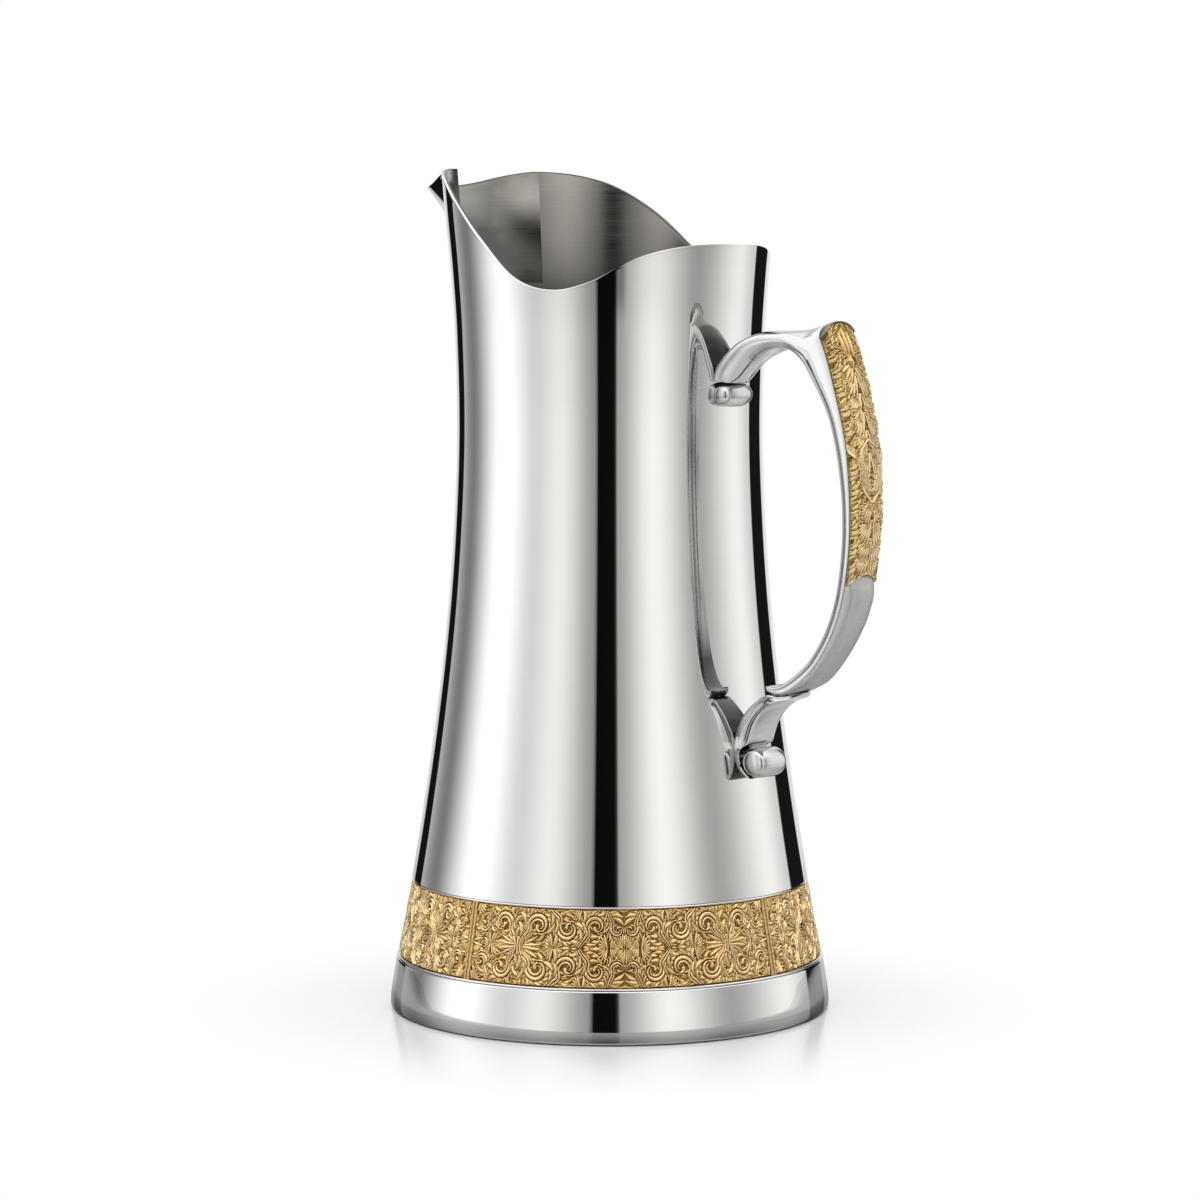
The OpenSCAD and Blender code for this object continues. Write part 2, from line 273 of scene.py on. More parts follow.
def steel(name, tint, rough, line, line_stretch, line_bump, smudge=0.03, depth=0.06, low=None, patch=None):
    """Steel with polishing or brushing lines, soft smudges and a little tone.

    low: painted shade, darker from one height to another (from z, to z, share left at the first) or along another axis
    (its number last),
    patch: (centre, radius, gain) a painted patch, a painted sheen where the gain is above one and a painted dark
    reflection where it is below one.
    """
    m, nt, b = new_mat(name)
    co = nd(nt, "ShaderNodeTexCoord").outputs["Object"]
    soft = noise(nt, co, 38.0, 4.0, 0.55)
    fine = noise(nt, co, line, 2.0, 0.6, line_stretch)
    spots = noise(nt, co, 420.0, 2.0, 0.5)
    dark = tuple((1 - depth) * c for c in tint)
    tone = calc(nt, "ADD", calc(nt, "MULTIPLY", soft, 0.5), calc(nt, "MULTIPLY", fine, 0.5))
    col = ramp(nt, tone, [(0.36, dark), (0.62, tint)])
    painted_light = None
    if low:
        sx = nd(nt, "ShaderNodeSeparateXYZ")
        nt.links.new(co, sx.inputs[0])
        painted_light = span(nt, sx.outputs[low[3] if len(low) > 3 else 2], low[2], 1.0, low[0] * MM, low[1] * MM)
    if patch:
        far = nd(nt, "ShaderNodeVectorMath", operation="DISTANCE")
        far.inputs[1].default_value = [k * MM for k in patch[0]]
        nt.links.new(co, far.inputs[0])
        uneven = calc(nt, "ADD", far.outputs["Value"], span(nt, soft, -0.3 * patch[1] * MM, 0.3 * patch[1] * MM))
        painted_patch = span(nt, uneven, patch[2], 1.0, 0.15 * patch[1] * MM, patch[1] * MM)
        painted_light = calc(nt, "MULTIPLY", painted_light, painted_patch) if painted_light else painted_patch
    # painted light: the shade ramp and the patch multiply the base colour
    if painted_light:
        mul = nd(nt, "ShaderNodeMix", data_type="RGBA", blend_type="MULTIPLY")
        mul.inputs["Factor"].default_value = 1.0
        nt.links.new(col, mul.inputs[6])
        nt.links.new(painted_light, mul.inputs[7])
        col = mul.outputs[2]
    nt.links.new(col, b.inputs["Base Color"])
    b.inputs["Metallic"].default_value = 1.0
    r = calc(nt, "ADD", span(nt, soft, rough, rough + smudge), span(nt, fine, 0.0, 0.6 * rough))
    r = calc(nt, "ADD", r, span(nt, spots, 0.0, 0.012, 0.62, 0.75))
    nt.links.new(r, b.inputs["Roughness"])
    bump(nt, b, fine, line_bump, 0.00002)
    return m


MIRROR = steel("steel_mirror", (0.62, 0.619, 0.613), 0.010, 1.0, (30, 30, 900), 0.001, 0.012, 0.012)
FOOT = steel("steel_foot", (0.61, 0.61, 0.606), 0.022, 1.0, (16, 16, 1900), 0.012, 0.02, 0.02)
CAST = steel("steel_cast_polished", (0.56, 0.559, 0.553), 0.085, 700.0, (1, 1, 1), 0.04, 0.04, 0.04)
# painted shade on the faces towards the wall: darker downwards from 142 mm, to 0.09 at 116 mm
BACK_PAINTED_SHADE = steel("steel_cast_back_painted_shade", (0.76, 0.755, 0.745), 0.10, 700.0, (1, 1, 1), 0.06, 0.05, 0.08, (116, 142, 0.09))
# painted dark reflection on the arm's top by the wall: darker towards the wall below x 68.5 mm, to 0.07 at 62.5 mm, and
# halved round (67, 0, 209.5)
ROOT_PAINTED_REFLECTION = steel("steel_cast_root_painted_reflection", (0.56, 0.559, 0.553), 0.085, 700.0, (1, 1, 1), 0.04, 0.04, 0.04, (62.5, 68.5, 0.07, 0),
             ((67, 0, 209.5), 19, 0.5))
# painted shade on the edge faces: darker outwards from x 75 mm, to 0.68 at 89 mm; also a little rougher
BEVEL_PAINTED_SHADE = steel("steel_cast_edge_painted_shade", (0.56, 0.559, 0.553), 0.12, 700.0, (1, 1, 1), 0.04, 0.04, 0.04, (89, 75, 0.68, 0))
# painted shade: the lip over the plaque's top is near-black steel
LIP_PAINTED_SHADE = steel("steel_lip_painted_shade", (0.18, 0.172, 0.155), 0.16, 700.0, (1, 1, 1), 0.06, 0.05, 0.08)
# painted shade: a dark line on the inner half of the rim's round
RIM_PAINTED_SHADE = steel("steel_rim_inner_painted_shade", (0.06, 0.059, 0.057), 0.16, 700.0, (1, 1, 1), 0.06, 0.05, 0.08)
# painted shade in the groove: darker upwards from 187 mm, to 0.2 at 200 mm
GROOVE_PAINTED_SHADE = steel("steel_groove_painted_shade", (0.60, 0.594, 0.584), 0.22, 700.0, (1, 1, 1), 0.06, 0.05, 0.08, (200, 187, 0.2))
STRAP = steel("steel_strap_satin", (0.48, 0.477, 0.474), 0.40, 900.0, (1, 1, 1), 0.05, 0.04, 0.03)
BEAD = steel("steel_bead", (0.54, 0.538, 0.532), 0.11, 700.0, (1, 1, 1), 0.04, 0.04, 0.04)
BEAD_SOFT = steel("steel_bead_soft", (0.56, 0.558, 0.552), 0.21, 700.0, (1, 1, 1), 0.04, 0.05, 0.04)
# painted shade inside: a darker tint than outside, darker still downwards from 258 mm, to 0.44 at 222 mm
INSIDE_PAINTED_SHADE = steel("steel_brushed_inside_painted_shade", (0.30, 0.289, 0.271), 0.15, 1.0, (34, 34, 3000), 0.30, 0.05, 0.16, (222, 258, 0.44))
# painted light inside the spout: a darker tint, darker still downwards from 253 mm to 0.32 at 243 mm, and a painted
# sheen up to 2.7 times brighter round (-50.5, 18, 249)
INSIDE_SPOUT_PAINTED_LIGHT = steel("steel_brushed_spout_painted_light", (0.205, 0.197, 0.184), 0.17, 1.0, (34, 34, 3000), 0.30, 0.05, 0.16, (243, 253, 0.32),
                     ((-50.5, 18, 249), 17, 2.7))
SATIN = steel("steel_satin", (0.50, 0.50, 0.49), 0.26, 1.0, (1400, 1400, 1400), 0.25, 0.06)


def spun_steel():
    """Satin plate with fine rings from turning."""
    m, nt, b = new_mat("steel_spun")
    co = nd(nt, "ShaderNodeTexCoord").outputs["Object"]
    sx = nd(nt, "ShaderNodeSeparateXYZ")
    nt.links.new(co, sx.inputs[0])
    r = calc(nt, "SQRT", calc(nt, "ADD", calc(nt, "MULTIPLY", sx.outputs[0], sx.outputs[0]),
                              calc(nt, "MULTIPLY", sx.outputs[1], sx.outputs[1])), 0.0)
    cm = nd(nt, "ShaderNodeCombineXYZ")
    nt.links.new(calc(nt, "MULTIPLY", r, 2200.0), cm.inputs[0])
    rings = noise(nt, cm.outputs[0], 1.0, 3.0, 0.6)
    soft = noise(nt, co, 45.0, 3.0)
    nt.links.new(ramp(nt, rings, [(0.3, (0.40, 0.396, 0.385)), (0.7, (0.50, 0.496, 0.485))]), b.inputs["Base Color"])
    b.inputs["Metallic"].default_value = 1.0
    nt.links.new(span(nt, soft, 0.22, 0.34), b.inputs["Roughness"])
    bump(nt, b, rings, 0.4, 0.00002)
    return m


SPUN = spun_steel()


GILT_TONES = [(0.10, (0.21, 0.112, 0.026)), (0.30, (0.385, 0.218, 0.060)), (0.50, (0.515, 0.320, 0.110)),
              (0.70, (0.635, 0.445, 0.200)), (0.92, (0.77, 0.600, 0.345))]
PLAQUE_TONES = [(0.10, (0.20, 0.125, 0.037)), (0.30, (0.375, 0.240, 0.080)), (0.50, (0.51, 0.340, 0.132)),
                (0.70, (0.63, 0.465, 0.228)), (0.92, (0.77, 0.625, 0.380))]


def gilt_mat(name, tones, dull=None):
    """Antique gilt: bright tops and brown recesses, partly wear and dirt and partly painted highlight and painted
    shade, cast grain. dull = heights from and to which it darkens, amount.
    """
    m, nt, b = new_mat(name)
    co = nd(nt, "ShaderNodeTexCoord").outputs["Object"]
    cav = nd(nt, "ShaderNodeAttribute", attribute_name="cavity").outputs["Fac"]
    hgt = nd(nt, "ShaderNodeAttribute", attribute_name="height").outputs["Fac"]
    patch = noise(nt, co, 70.0, 4.0, 0.6)
    grain = noise(nt, co, 2600.0, 3.0, 0.6)
    # partly painted highlight and painted shade: brighter on tops and edges, darker in recesses
    f = calc(nt, "ADD", calc(nt, "MULTIPLY", cav, 0.55), calc(nt, "MULTIPLY", hgt, 0.45))
    f = calc(nt, "ADD", f, span(nt, patch, -0.07, 0.07))
    f = calc(nt, "ADD", f, span(nt, grain, -0.05, 0.05))
    if dull:
        sep = nd(nt, "ShaderNodeSeparateXYZ")
        nt.links.new(co, sep.inputs["Vector"])
        f = calc(nt, "ADD", f, span(nt, sep.outputs["Z"], 0.0, -dull[2], dull[0] * MM, dull[1] * MM))
    col = ramp(nt, f, tones)
    nt.links.new(col, b.inputs["Base Color"])
    b.inputs["Metallic"].default_value = 1.0
    r = calc(nt, "ADD", span(nt, f, 0.28, 0.14, 0.25, 0.75), span(nt, patch, -0.03, 0.05))
    nt.links.new(r, b.inputs["Roughness"])
    bump(nt, b, grain, 0.35, 0.00004)
    return m


GILT = gilt_mat("gilt_cast", GILT_TONES)
GILT_GRIP = gilt_mat("gilt_grip", PLAQUE_TONES, (190.0, 206.0, 0.15))


def seal_mat():
    m, nt, b = new_mat("seal_silicone")
    co = nd(nt, "ShaderNodeTexCoord").outputs["Object"]
    n = noise(nt, co, 900.0, 3.0)
    nt.links.new(ramp(nt, n, [(0.3, (0.74, 0.74, 0.71)), (0.7, (0.82, 0.82, 0.80))]), b.inputs["Base Color"])
    nt.links.new(span(nt, n, 0.45, 0.6), b.inputs["Roughness"])
    bump(nt, b, n, 0.2, 0.00003)
    return m


SEAL = seal_mat()

# ---- body ------------------------------------------------------------------

RIM_H = 0.3


def rim_arc(po, pi, n=9):
    """Round edge from the outer to the inner top corner, (r, z) pairs of columns."""
    c = (po + pi) / 2
    e = (po - pi) / 2
    out = []
    for a in np.linspace(0, np.pi, n):
        ca, sa = math.cos(a), math.sin(a)
        cx = math.copysign(abs(ca) ** 0.45, ca)
        sz = abs(sa) ** 0.45
        p = c + e * cx
        p = p + np.stack([np.zeros(len(c)), np.full(len(c), RIM_H * (sz - 1))], 1)
        out.append(p)
    return out


def column_top(psi, inset):
    z = np.full(len(psi), 240.0)
    for _ in range(14):
        z = rim_z(-(wall_r(z) - inset) * np.cos(psi))
    return z


def build_body():
    psi = np.radians(np.concatenate([np.linspace(-SPOUT_A, SPOUT_A, 89)[:-1],
                                     np.linspace(SPOUT_A, 360 - SPOUT_A, 317)[:-1]]))
    n = len(psi)
    sector = 88
    top_o, top_i = column_top(psi, 0.0), column_top(psi, WALL_T)
    zr = np.minimum(SPOUT_ROOT, np.minimum(top_o, top_i) - 12)
    zr[:sector + 1] = SPOUT_ROOT
    rows = []

    def put(r, z, kind):
        r = np.broadcast_to(np.asarray(r, float), (n,))
        z = np.broadcast_to(np.asarray(z, float), (n,))
        rows.append((np.stack([-r * np.cos(psi), r * np.sin(psi), z], 1), kind))

    # outside, from the foot up to the split
    put(SEAT_R, FLANGE, "o")
    put(SEAT_R, FOOT_H, "o")
    put(seat_r(STEP_Z), STEP_Z, "o")
    put(wall_r(STEP_Z), STEP_Z, "o")
    for s in np.linspace(0, 1, 76)[1:]:
        z = STEP_Z + (zr - STEP_Z) * s
        put(wall_r(z), z, "o")
    k_out = len(rows)
    for s in np.linspace(1, 0, 76):
        z = STEP_Z + 1.2 + (zr - STEP_Z - 1.2) * s
        put(wall_r(z) - WALL_T, z, "i")
    put(seat_r(STEP_Z) - WALL_T, STEP_Z - 0.6, "i")
    put(SEAT_R - WALL_T, FOOT_H, "i")
    put(SEAT_R - WALL_T, FLANGE, "i")
    k_all = len(rows)
    v = [r[0] for r in rows]
    faces, fm = [], []
    idx = np.arange(k_all * n).reshape(k_all, n)

    def quads(a, b, mat):
        q = np.stack([a[:-1], a[1:], b[1:], b[:-1]], -1)
        faces.extend(q.tolist())
        fm.extend([mat] * len(q))

    wrap = np.concatenate([np.arange(n), [0]])
    for k in list(range(k_out - 1)) + list(range(k_out, k_all - 1)):
        quads(idx[k][wrap], idx[k + 1][wrap], 0 if k < k_out else 1)
    quads(idx[k_all - 1][wrap], idx[0][wrap], 1)
    # edge under the spout
    sec = np.arange(sector + 1)
    quads(idx[k_out - 1][sec], idx[k_out][sec], 1)
    # above the split, everywhere but behind the spout
    cols = np.concatenate([np.arange(sector, n), [0]])
    upper = []
    for s in np.linspace(0, 1, 34)[1:]:
        z = zr + (top_o - RIM_H - zr) * s
        if s == 1:
            break
        upper.append((wall_r(z), z, 0))
    po = np.stack([wall_r(top_o), top_o], 1)
    pi = np.stack([wall_r(top_i) - WALL_T, top_i], 1)
    # the inner half of the rim's round takes the painted shade line
    for j, p in enumerate(rim_arc(po, pi)):
        upper.append((p[:, 0], p[:, 1], 2 if j > 4 else 0))
    for s in np.linspace(1, 0, 34)[1:-1]:
        z = zr + (top_i - RIM_H - zr) * s
        upper.append((wall_r(z) - WALL_T, z, 1))
    base = k_all * n
    prev = idx[k_out - 1][cols]
    chain = [prev]
    for r, z, mat in upper:
        p = np.stack([-r * np.cos(psi), r * np.sin(psi), z], 1)[cols]
        cur = base + np.arange(len(cols))
        base += len(cols)
        v.append(p)
        quads(prev, cur, mat)
        chain.append(cur)
        prev = cur
    quads(prev, idx[k_out][cols], 1)
    chain.append(idx[k_out][cols])
    faces.append([int(c[0]) for c in chain])
    faces.append([int(c[-1]) for c in chain][::-1])
    fm += [1, 1]
    # rim faces share one smooth run, so only the steps turn sharp
    return add_mesh("body", np.vstack(v), faces, [MIRROR, INSIDE_PAINTED_SHADE, RIM_PAINTED_SHADE], ["body_shell"], fm, 42)


build_body()

# ---- spout -----------------------------------------------------------------


def fold(t):
    return (math.sqrt(1.01) - np.sqrt(t * t + 0.01)) / (math.sqrt(1.01) - 0.1)


def keel(z):
    s = np.maximum(z - SPOUT_ROOT, 0) / (TIP_Z - SPOUT_ROOT)
    return TIP_E * (np.sqrt(s * s + 0.0036) - 0.06) / (math.sqrt(1.0036) - 0.06)


def spout_xy(t, z, inset):
    a = np.radians(SPOUT_A * t)
    r = wall_r(z) - inset
    return -r * np.cos(a) - keel(z) * fold(t), r * np.sin(a)


def build_spout():
    t = np.linspace(-1, 1, 89)
    n = len(t)

    def top(inset):
        z = np.full(n, 259.0)
        for _ in range(20):
            z = rim_z(spout_xy(t, z, inset)[0])
        return z

    to, ti = top(0.0), top(WALL_T)
    v, fm_row = [], []
    for s in np.linspace(0, 1, 46)[:-1]:
        z = SPOUT_ROOT + (to - RIM_H - SPOUT_ROOT) * s
        x, y = spout_xy(t, z, 0.0)
        v.append(np.stack([x, y, z], 1))
        fm_row.append(0)
    xo, yo = spout_xy(t, to, 0.0)
    xi, yi = spout_xy(t, ti, WALL_T)
    po, pi = np.stack([xo, yo, to], 1), np.stack([xi, yi, ti], 1)
    c, e = (po + pi) / 2, (po - pi) / 2
    # the inner half of the rim's round takes the painted shade line
    for j, a in enumerate(np.linspace(0, np.pi, 9)):
        ca, sa = math.cos(a), math.sin(a)
        p = c + e * math.copysign(abs(ca) ** 0.45, ca)
        p[:, 2] += RIM_H * (abs(sa) ** 0.45 - 1)
        v.append(p)
        fm_row.append(2 if j > 4 else 0)
    for s in np.linspace(1, 0, 46)[1:]:
        z = SPOUT_ROOT + (ti - RIM_H - SPOUT_ROOT) * s
        x, y = spout_xy(t, z, WALL_T)
        v.append(np.stack([x, y, z], 1))
        fm_row.append(1)
    k = len(v)
    idx = np.arange(k * n).reshape(k, n)
    faces, fm = [], []
    for j in range(k - 1):
        q = np.stack([idx[j][:-1], idx[j][1:], idx[j + 1][1:], idx[j + 1][:-1]], -1)
        faces.extend(q.tolist())
        fm.extend([fm_row[j + 1]] * (n - 1))
    q = np.stack([idx[-1][:-1], idx[-1][1:], idx[0][1:], idx[0][:-1]], -1)
    faces.extend(q.tolist())
    fm.extend([1] * (n - 1))
    faces.append(idx[:, 0].tolist())
    faces.append(idx[::-1, -1].tolist())
    fm += [1, 1]
    add_mesh("spout", np.vstack(v), faces, [MIRROR, INSIDE_SPOUT_PAINTED_LIGHT, RIM_PAINTED_SHADE], ["spout_panel"], fm, 50)


build_spout()

# ---- foot and rings --------------------------------------------------------


def build_foot():
    side = path([(67.2, 0), (67.8, 0.05), (68.3, 0.3), (68.65, 0.8), (68.74, 1.5), (68.75, 2.4), (68.68, 4.2)], 5)
    prof = np.vstack([[(62.6, 0.0), (64.4, 0.0)], side, [(68.4, 6.1), (67.91, 9.2), (67.42, 12.3), (66.95, 15.3), (66.85, 15.8),
                                                         (66.72, 16.03), (66.5, 16.15), (66.2, 16.2)],
                      [(SEAT_R + 0.01, 16.2), (SEAT_R + 0.01, 3.2), (62.4, 3.2), (62.1, 3.0), (62.0, 2.6), (62.0, 0.6), (62.2, 0.15)]])
    v, f = lathe(prof, 360)
    add_mesh("foot", v, f, [FOOT], ["foot_ring"], None, 40)


def build_rings():
    up = fillet([(float(seat_r(BAND_Z1)), BAND_Z1 + 0.02, 0), (BAND_R1 + 0.12, BAND_Z1 + 0.02, 0.25),
                 (BAND_R1 + 0.18, BAND_Z1 + 0.42, 0.3), (BAND_R1 - 0.28, STEP_Z, 0.2), (float(seat_r(STEP_Z)), STEP_Z, 0)], 6)
    v, f = lathe(up, 360)
    add_mesh("upper_ring", v, f, [MIRROR], ["band_upper_ring"], None, 40)
    lo = fillet([(SEAT_R, FOOT_H + 0.02, 0), (BAND_R0 + 0.42, FOOT_H + 0.02, 0.2), (BAND_R0 + 0.46, BAND_Z0 - 0.3, 0.3),
                 (BAND_R0 + 0.08, BAND_Z0 - 0.02, 0.2), (float(seat_r(BAND_Z0)), BAND_Z0 - 0.02, 0)], 6)
    v, f = lathe(lo, 360)
    add_mesh("lower_ring", v, f, [MIRROR], ["band_lower_ring"], None, 40)


build_foot()
build_rings()

# ---- carved relief ---------------------------------------------------------


class Relief:
    """A height field that strokes are laid on, the later over the earlier."""

    def __init__(self, w, h, nx, ny):
        self.x = np.linspace(0, w, nx)
        self.y = np.linspace(0, h, ny)
        self.h = np.zeros((ny, nx))

    def stroke(self, pts, wid, high, ribs=0, moat=0.3, deep=0.42):
        pts = np.asarray(pts, float)
        wid = np.broadcast_to(np.asarray(wid, float), (len(pts),))
        high = np.broadcast_to(np.asarray(high, float), (len(pts),))
        m = wid.max() + moat
        i0, i1 = np.searchsorted(self.x, [pts[:, 0].min() - m, pts[:, 0].max() + m])
        j0, j1 = np.searchsorted(self.y, [pts[:, 1].min() - m, pts[:, 1].max() + m])
        if i1 <= i0 or j1 <= j0:
            return
        gx, gy = np.meshgrid(self.x[i0:i1], self.y[j0:j1])
        p = np.stack([gx.ravel(), gy.ravel()], 1)
        best = np.full(len(p), 1e9)
        dist, half, side, top = np.zeros(len(p)), np.ones(len(p)), np.zeros(len(p)), np.zeros(len(p))
        for k in range(len(pts) - 1):
            a, d = pts[k], pts[k + 1] - pts[k]
            t = np.clip(((p - a) @ d) / (d @ d + 1e-12), 0, 1)
            q = p - a - t[:, None] * d
            dd = np.hypot(q[:, 0], q[:, 1])
            w = wid[k] + (wid[k + 1] - wid[k]) * t
            e = dd / np.maximum(w, 0.02)
            sel = e < best
            best[sel], dist[sel], half[sel] = e[sel], dd[sel], w[sel]
            top[sel] = (high[k] + (high[k + 1] - high[k]) * t)[sel]
            side[sel] = np.sign(d[0] * q[sel, 1] - d[1] * q[sel, 0])
        sh = gx.shape
        e, out, hw, hi = best.reshape(sh), (dist - half).reshape(sh), half.reshape(sh), top.reshape(sh)
        sg = (side * best).reshape(sh)
        prof = np.sqrt(np.clip(1 - e**2.2, 0, 1))
        if ribs:
            prof = prof * (1 - deep * (0.5 - 0.5 * np.cos(np.pi * ribs * (sg + 1))) ** 1.7)
        h = self.h[j0:j1, i0:i1]
        cut = np.clip(1 - out / moat, 0, 1) ** 1.5
        h = h - cut * (0.5 * np.maximum(h, 0) + 0.06)
        new = np.where(e < 1, np.maximum(h * 0.4, hi * (0.22 + 0.78 * prof)), h)
        edge = np.clip((1 - e) * hw / 0.14, 0, 1)
        self.h[j0:j1, i0:i1] = np.where(e < 1, h + (new - h) * edge, h)

    def bead(self, c, r, high):
        self.stroke([(c[0] - 0.01, c[1]), (c[0] + 0.01, c[1])], r, high)

    def lozenge(self, c, a, b, high):
        gx, gy = np.meshgrid(self.x, self.y)
        e = np.abs(gx - c[0]) / a + np.abs(gy - c[1]) / b
        cut = np.clip(1 - (e - 1) * min(a, b) / 0.35, 0, 1) ** 1.5
        h = self.h - np.where(e > 1, cut * (0.5 * np.maximum(self.h, 0) + 0.12), 0)
        self.h = np.where(e < 1, high * (0.4 + 0.6 * (1 - e)), h)


def turn(p, ang, length, bend, n=18):
    """Curve from p, starting at an angle and turning by bend over its length."""
    t = np.linspace(0, 1, n)
    a = ang + bend * t
    d = np.stack([np.cos(a), np.sin(a)], 1) * (length / (n - 1))
    return np.vstack([[p], np.asarray(p) + np.cumsum(d[:-1], 0)])


def leaf(rel, p, ang, length, bend, wid, high, ribs=2, deep=0.4):
    """Pointed leaf with a groove down its middle, thin at the stem."""
    pts = turn(p, ang, length, bend)
    t = np.linspace(0, 1, len(pts))
    w = wid * (0.30 + 0.70 * np.sin(np.pi * np.minimum(t * 0.70 + 0.08, 1))) * np.sqrt(np.clip(1.05 - t**4, 0.04, 1))
    rel.stroke(pts, w, high * (0.72 + 0.28 * np.sin(np.pi * np.clip(t * 0.9 + 0.1, 0, 1))), ribs, 0.24, deep)


def curl(c, r, a0, sweep, tail=(), close=0.16):
    """Spine of a scroll: a tail, then a spiral wound in to near its eye."""
    t = np.linspace(0, 1, max(10, int(abs(sweep) / 0.4)))
    rr = r * (1 - (1 - close) * t**0.95)
    a = a0 + sweep * t
    eye = np.stack([c[0] + rr * np.cos(a), c[1] + rr * np.sin(a)], 1)
    return resample(path(np.vstack([np.reshape(tail, (-1, 2)), eye]), 8), 64)


def acanthus(rel, spine, wid, high, lobes=7, out=1):
    """Leaf of combed strands along a spine, its outer side cut into lobes, its end a bud."""
    t = np.linspace(0, 1, len(spine))
    run = np.gradient(spine, axis=0)
    run /= np.linalg.norm(run, axis=1)[:, None]
    side = np.stack([-run[:, 1], run[:, 0]], 1) * out
    w = wid * (0.28 + 0.72 * np.sin(np.pi * np.clip(0.10 + 0.70 * t, 0, 1))) * (1 - 0.35 * smooth(0.62, 1.0, t))
    for f, b, h in ((0.62, 0.34, 0.90), (-0.80, 0.26, 0.94), (-0.12, 0.36, 1.0)):
        m = spine + side * (f * w)[:, None]
        e = int(len(spine) * (1 - 0.12 * max(f, 0)))
        half = np.maximum(b * w, 0.2) * np.sqrt(np.clip(1.04 - t**6, 0.1, 1))
        rel.stroke(m[:e], half[:e], high * h, 0, 0.22)
    for s in np.linspace(0.10, 0.74, lobes):
        i = int(s * (len(spine) - 1))
        ang = math.atan2(run[i, 1], run[i, 0])
        leaf(rel, spine[i] + side[i] * 0.50 * w[i], ang + out * 0.12, 2.5 * wid * (1.08 - 0.45 * s), out * 1.25, 0.46 * wid, high * 0.97, 2, 0.5)
    rel.stroke(spine[-7:], np.linspace(0.30, 0.62, 7) * wid * 0.62, high)


def comb(rel, p, a0, a1, count, length, bend, wid, high):
    """Feathered leaf: thin strands from one stem, fanned from a1 to a0."""
    for k in range(count):
        f = k / (count - 1)
        a = a1 + (a0 - a1) * f
        q = (p[0] + 0.10 * length * (1 - f), p[1])
        leaf(rel, q, a, length * (0.70 + 0.30 * f), bend * (1 - 0.5 * f), wid, high * (0.93 + 0.07 * f), 0)


def cavity_of(h, cell):
    """Bright on edges and tops, dark in grooves, partly wear and dirt and partly painted highlight and painted shade:
    height against its blur.
    """
    def blur(a, k):
        ker = np.exp(-0.5 * (np.arange(-3 * k, 3 * k + 1) / k) ** 2)
        ker /= ker.sum()
        pad = np.pad(a, 3 * k, mode="reflect")
        pad = np.apply_along_axis(lambda r: np.convolve(r, ker, "valid"), 1, pad)
        return np.apply_along_axis(lambda r: np.convolve(r, ker, "valid"), 0, pad)

    k1, k2 = max(1, int(round(0.35 / cell))), max(2, int(round(1.1 / cell)))
    d = 0.6 * (h - blur(h, k1)) / 0.16 + 0.4 * (h - blur(h, k2)) / 0.3
    return np.clip(0.5 + 0.5 * d, 0, 1)


PANEL_L, PANEL_H = 51.0, 11.25


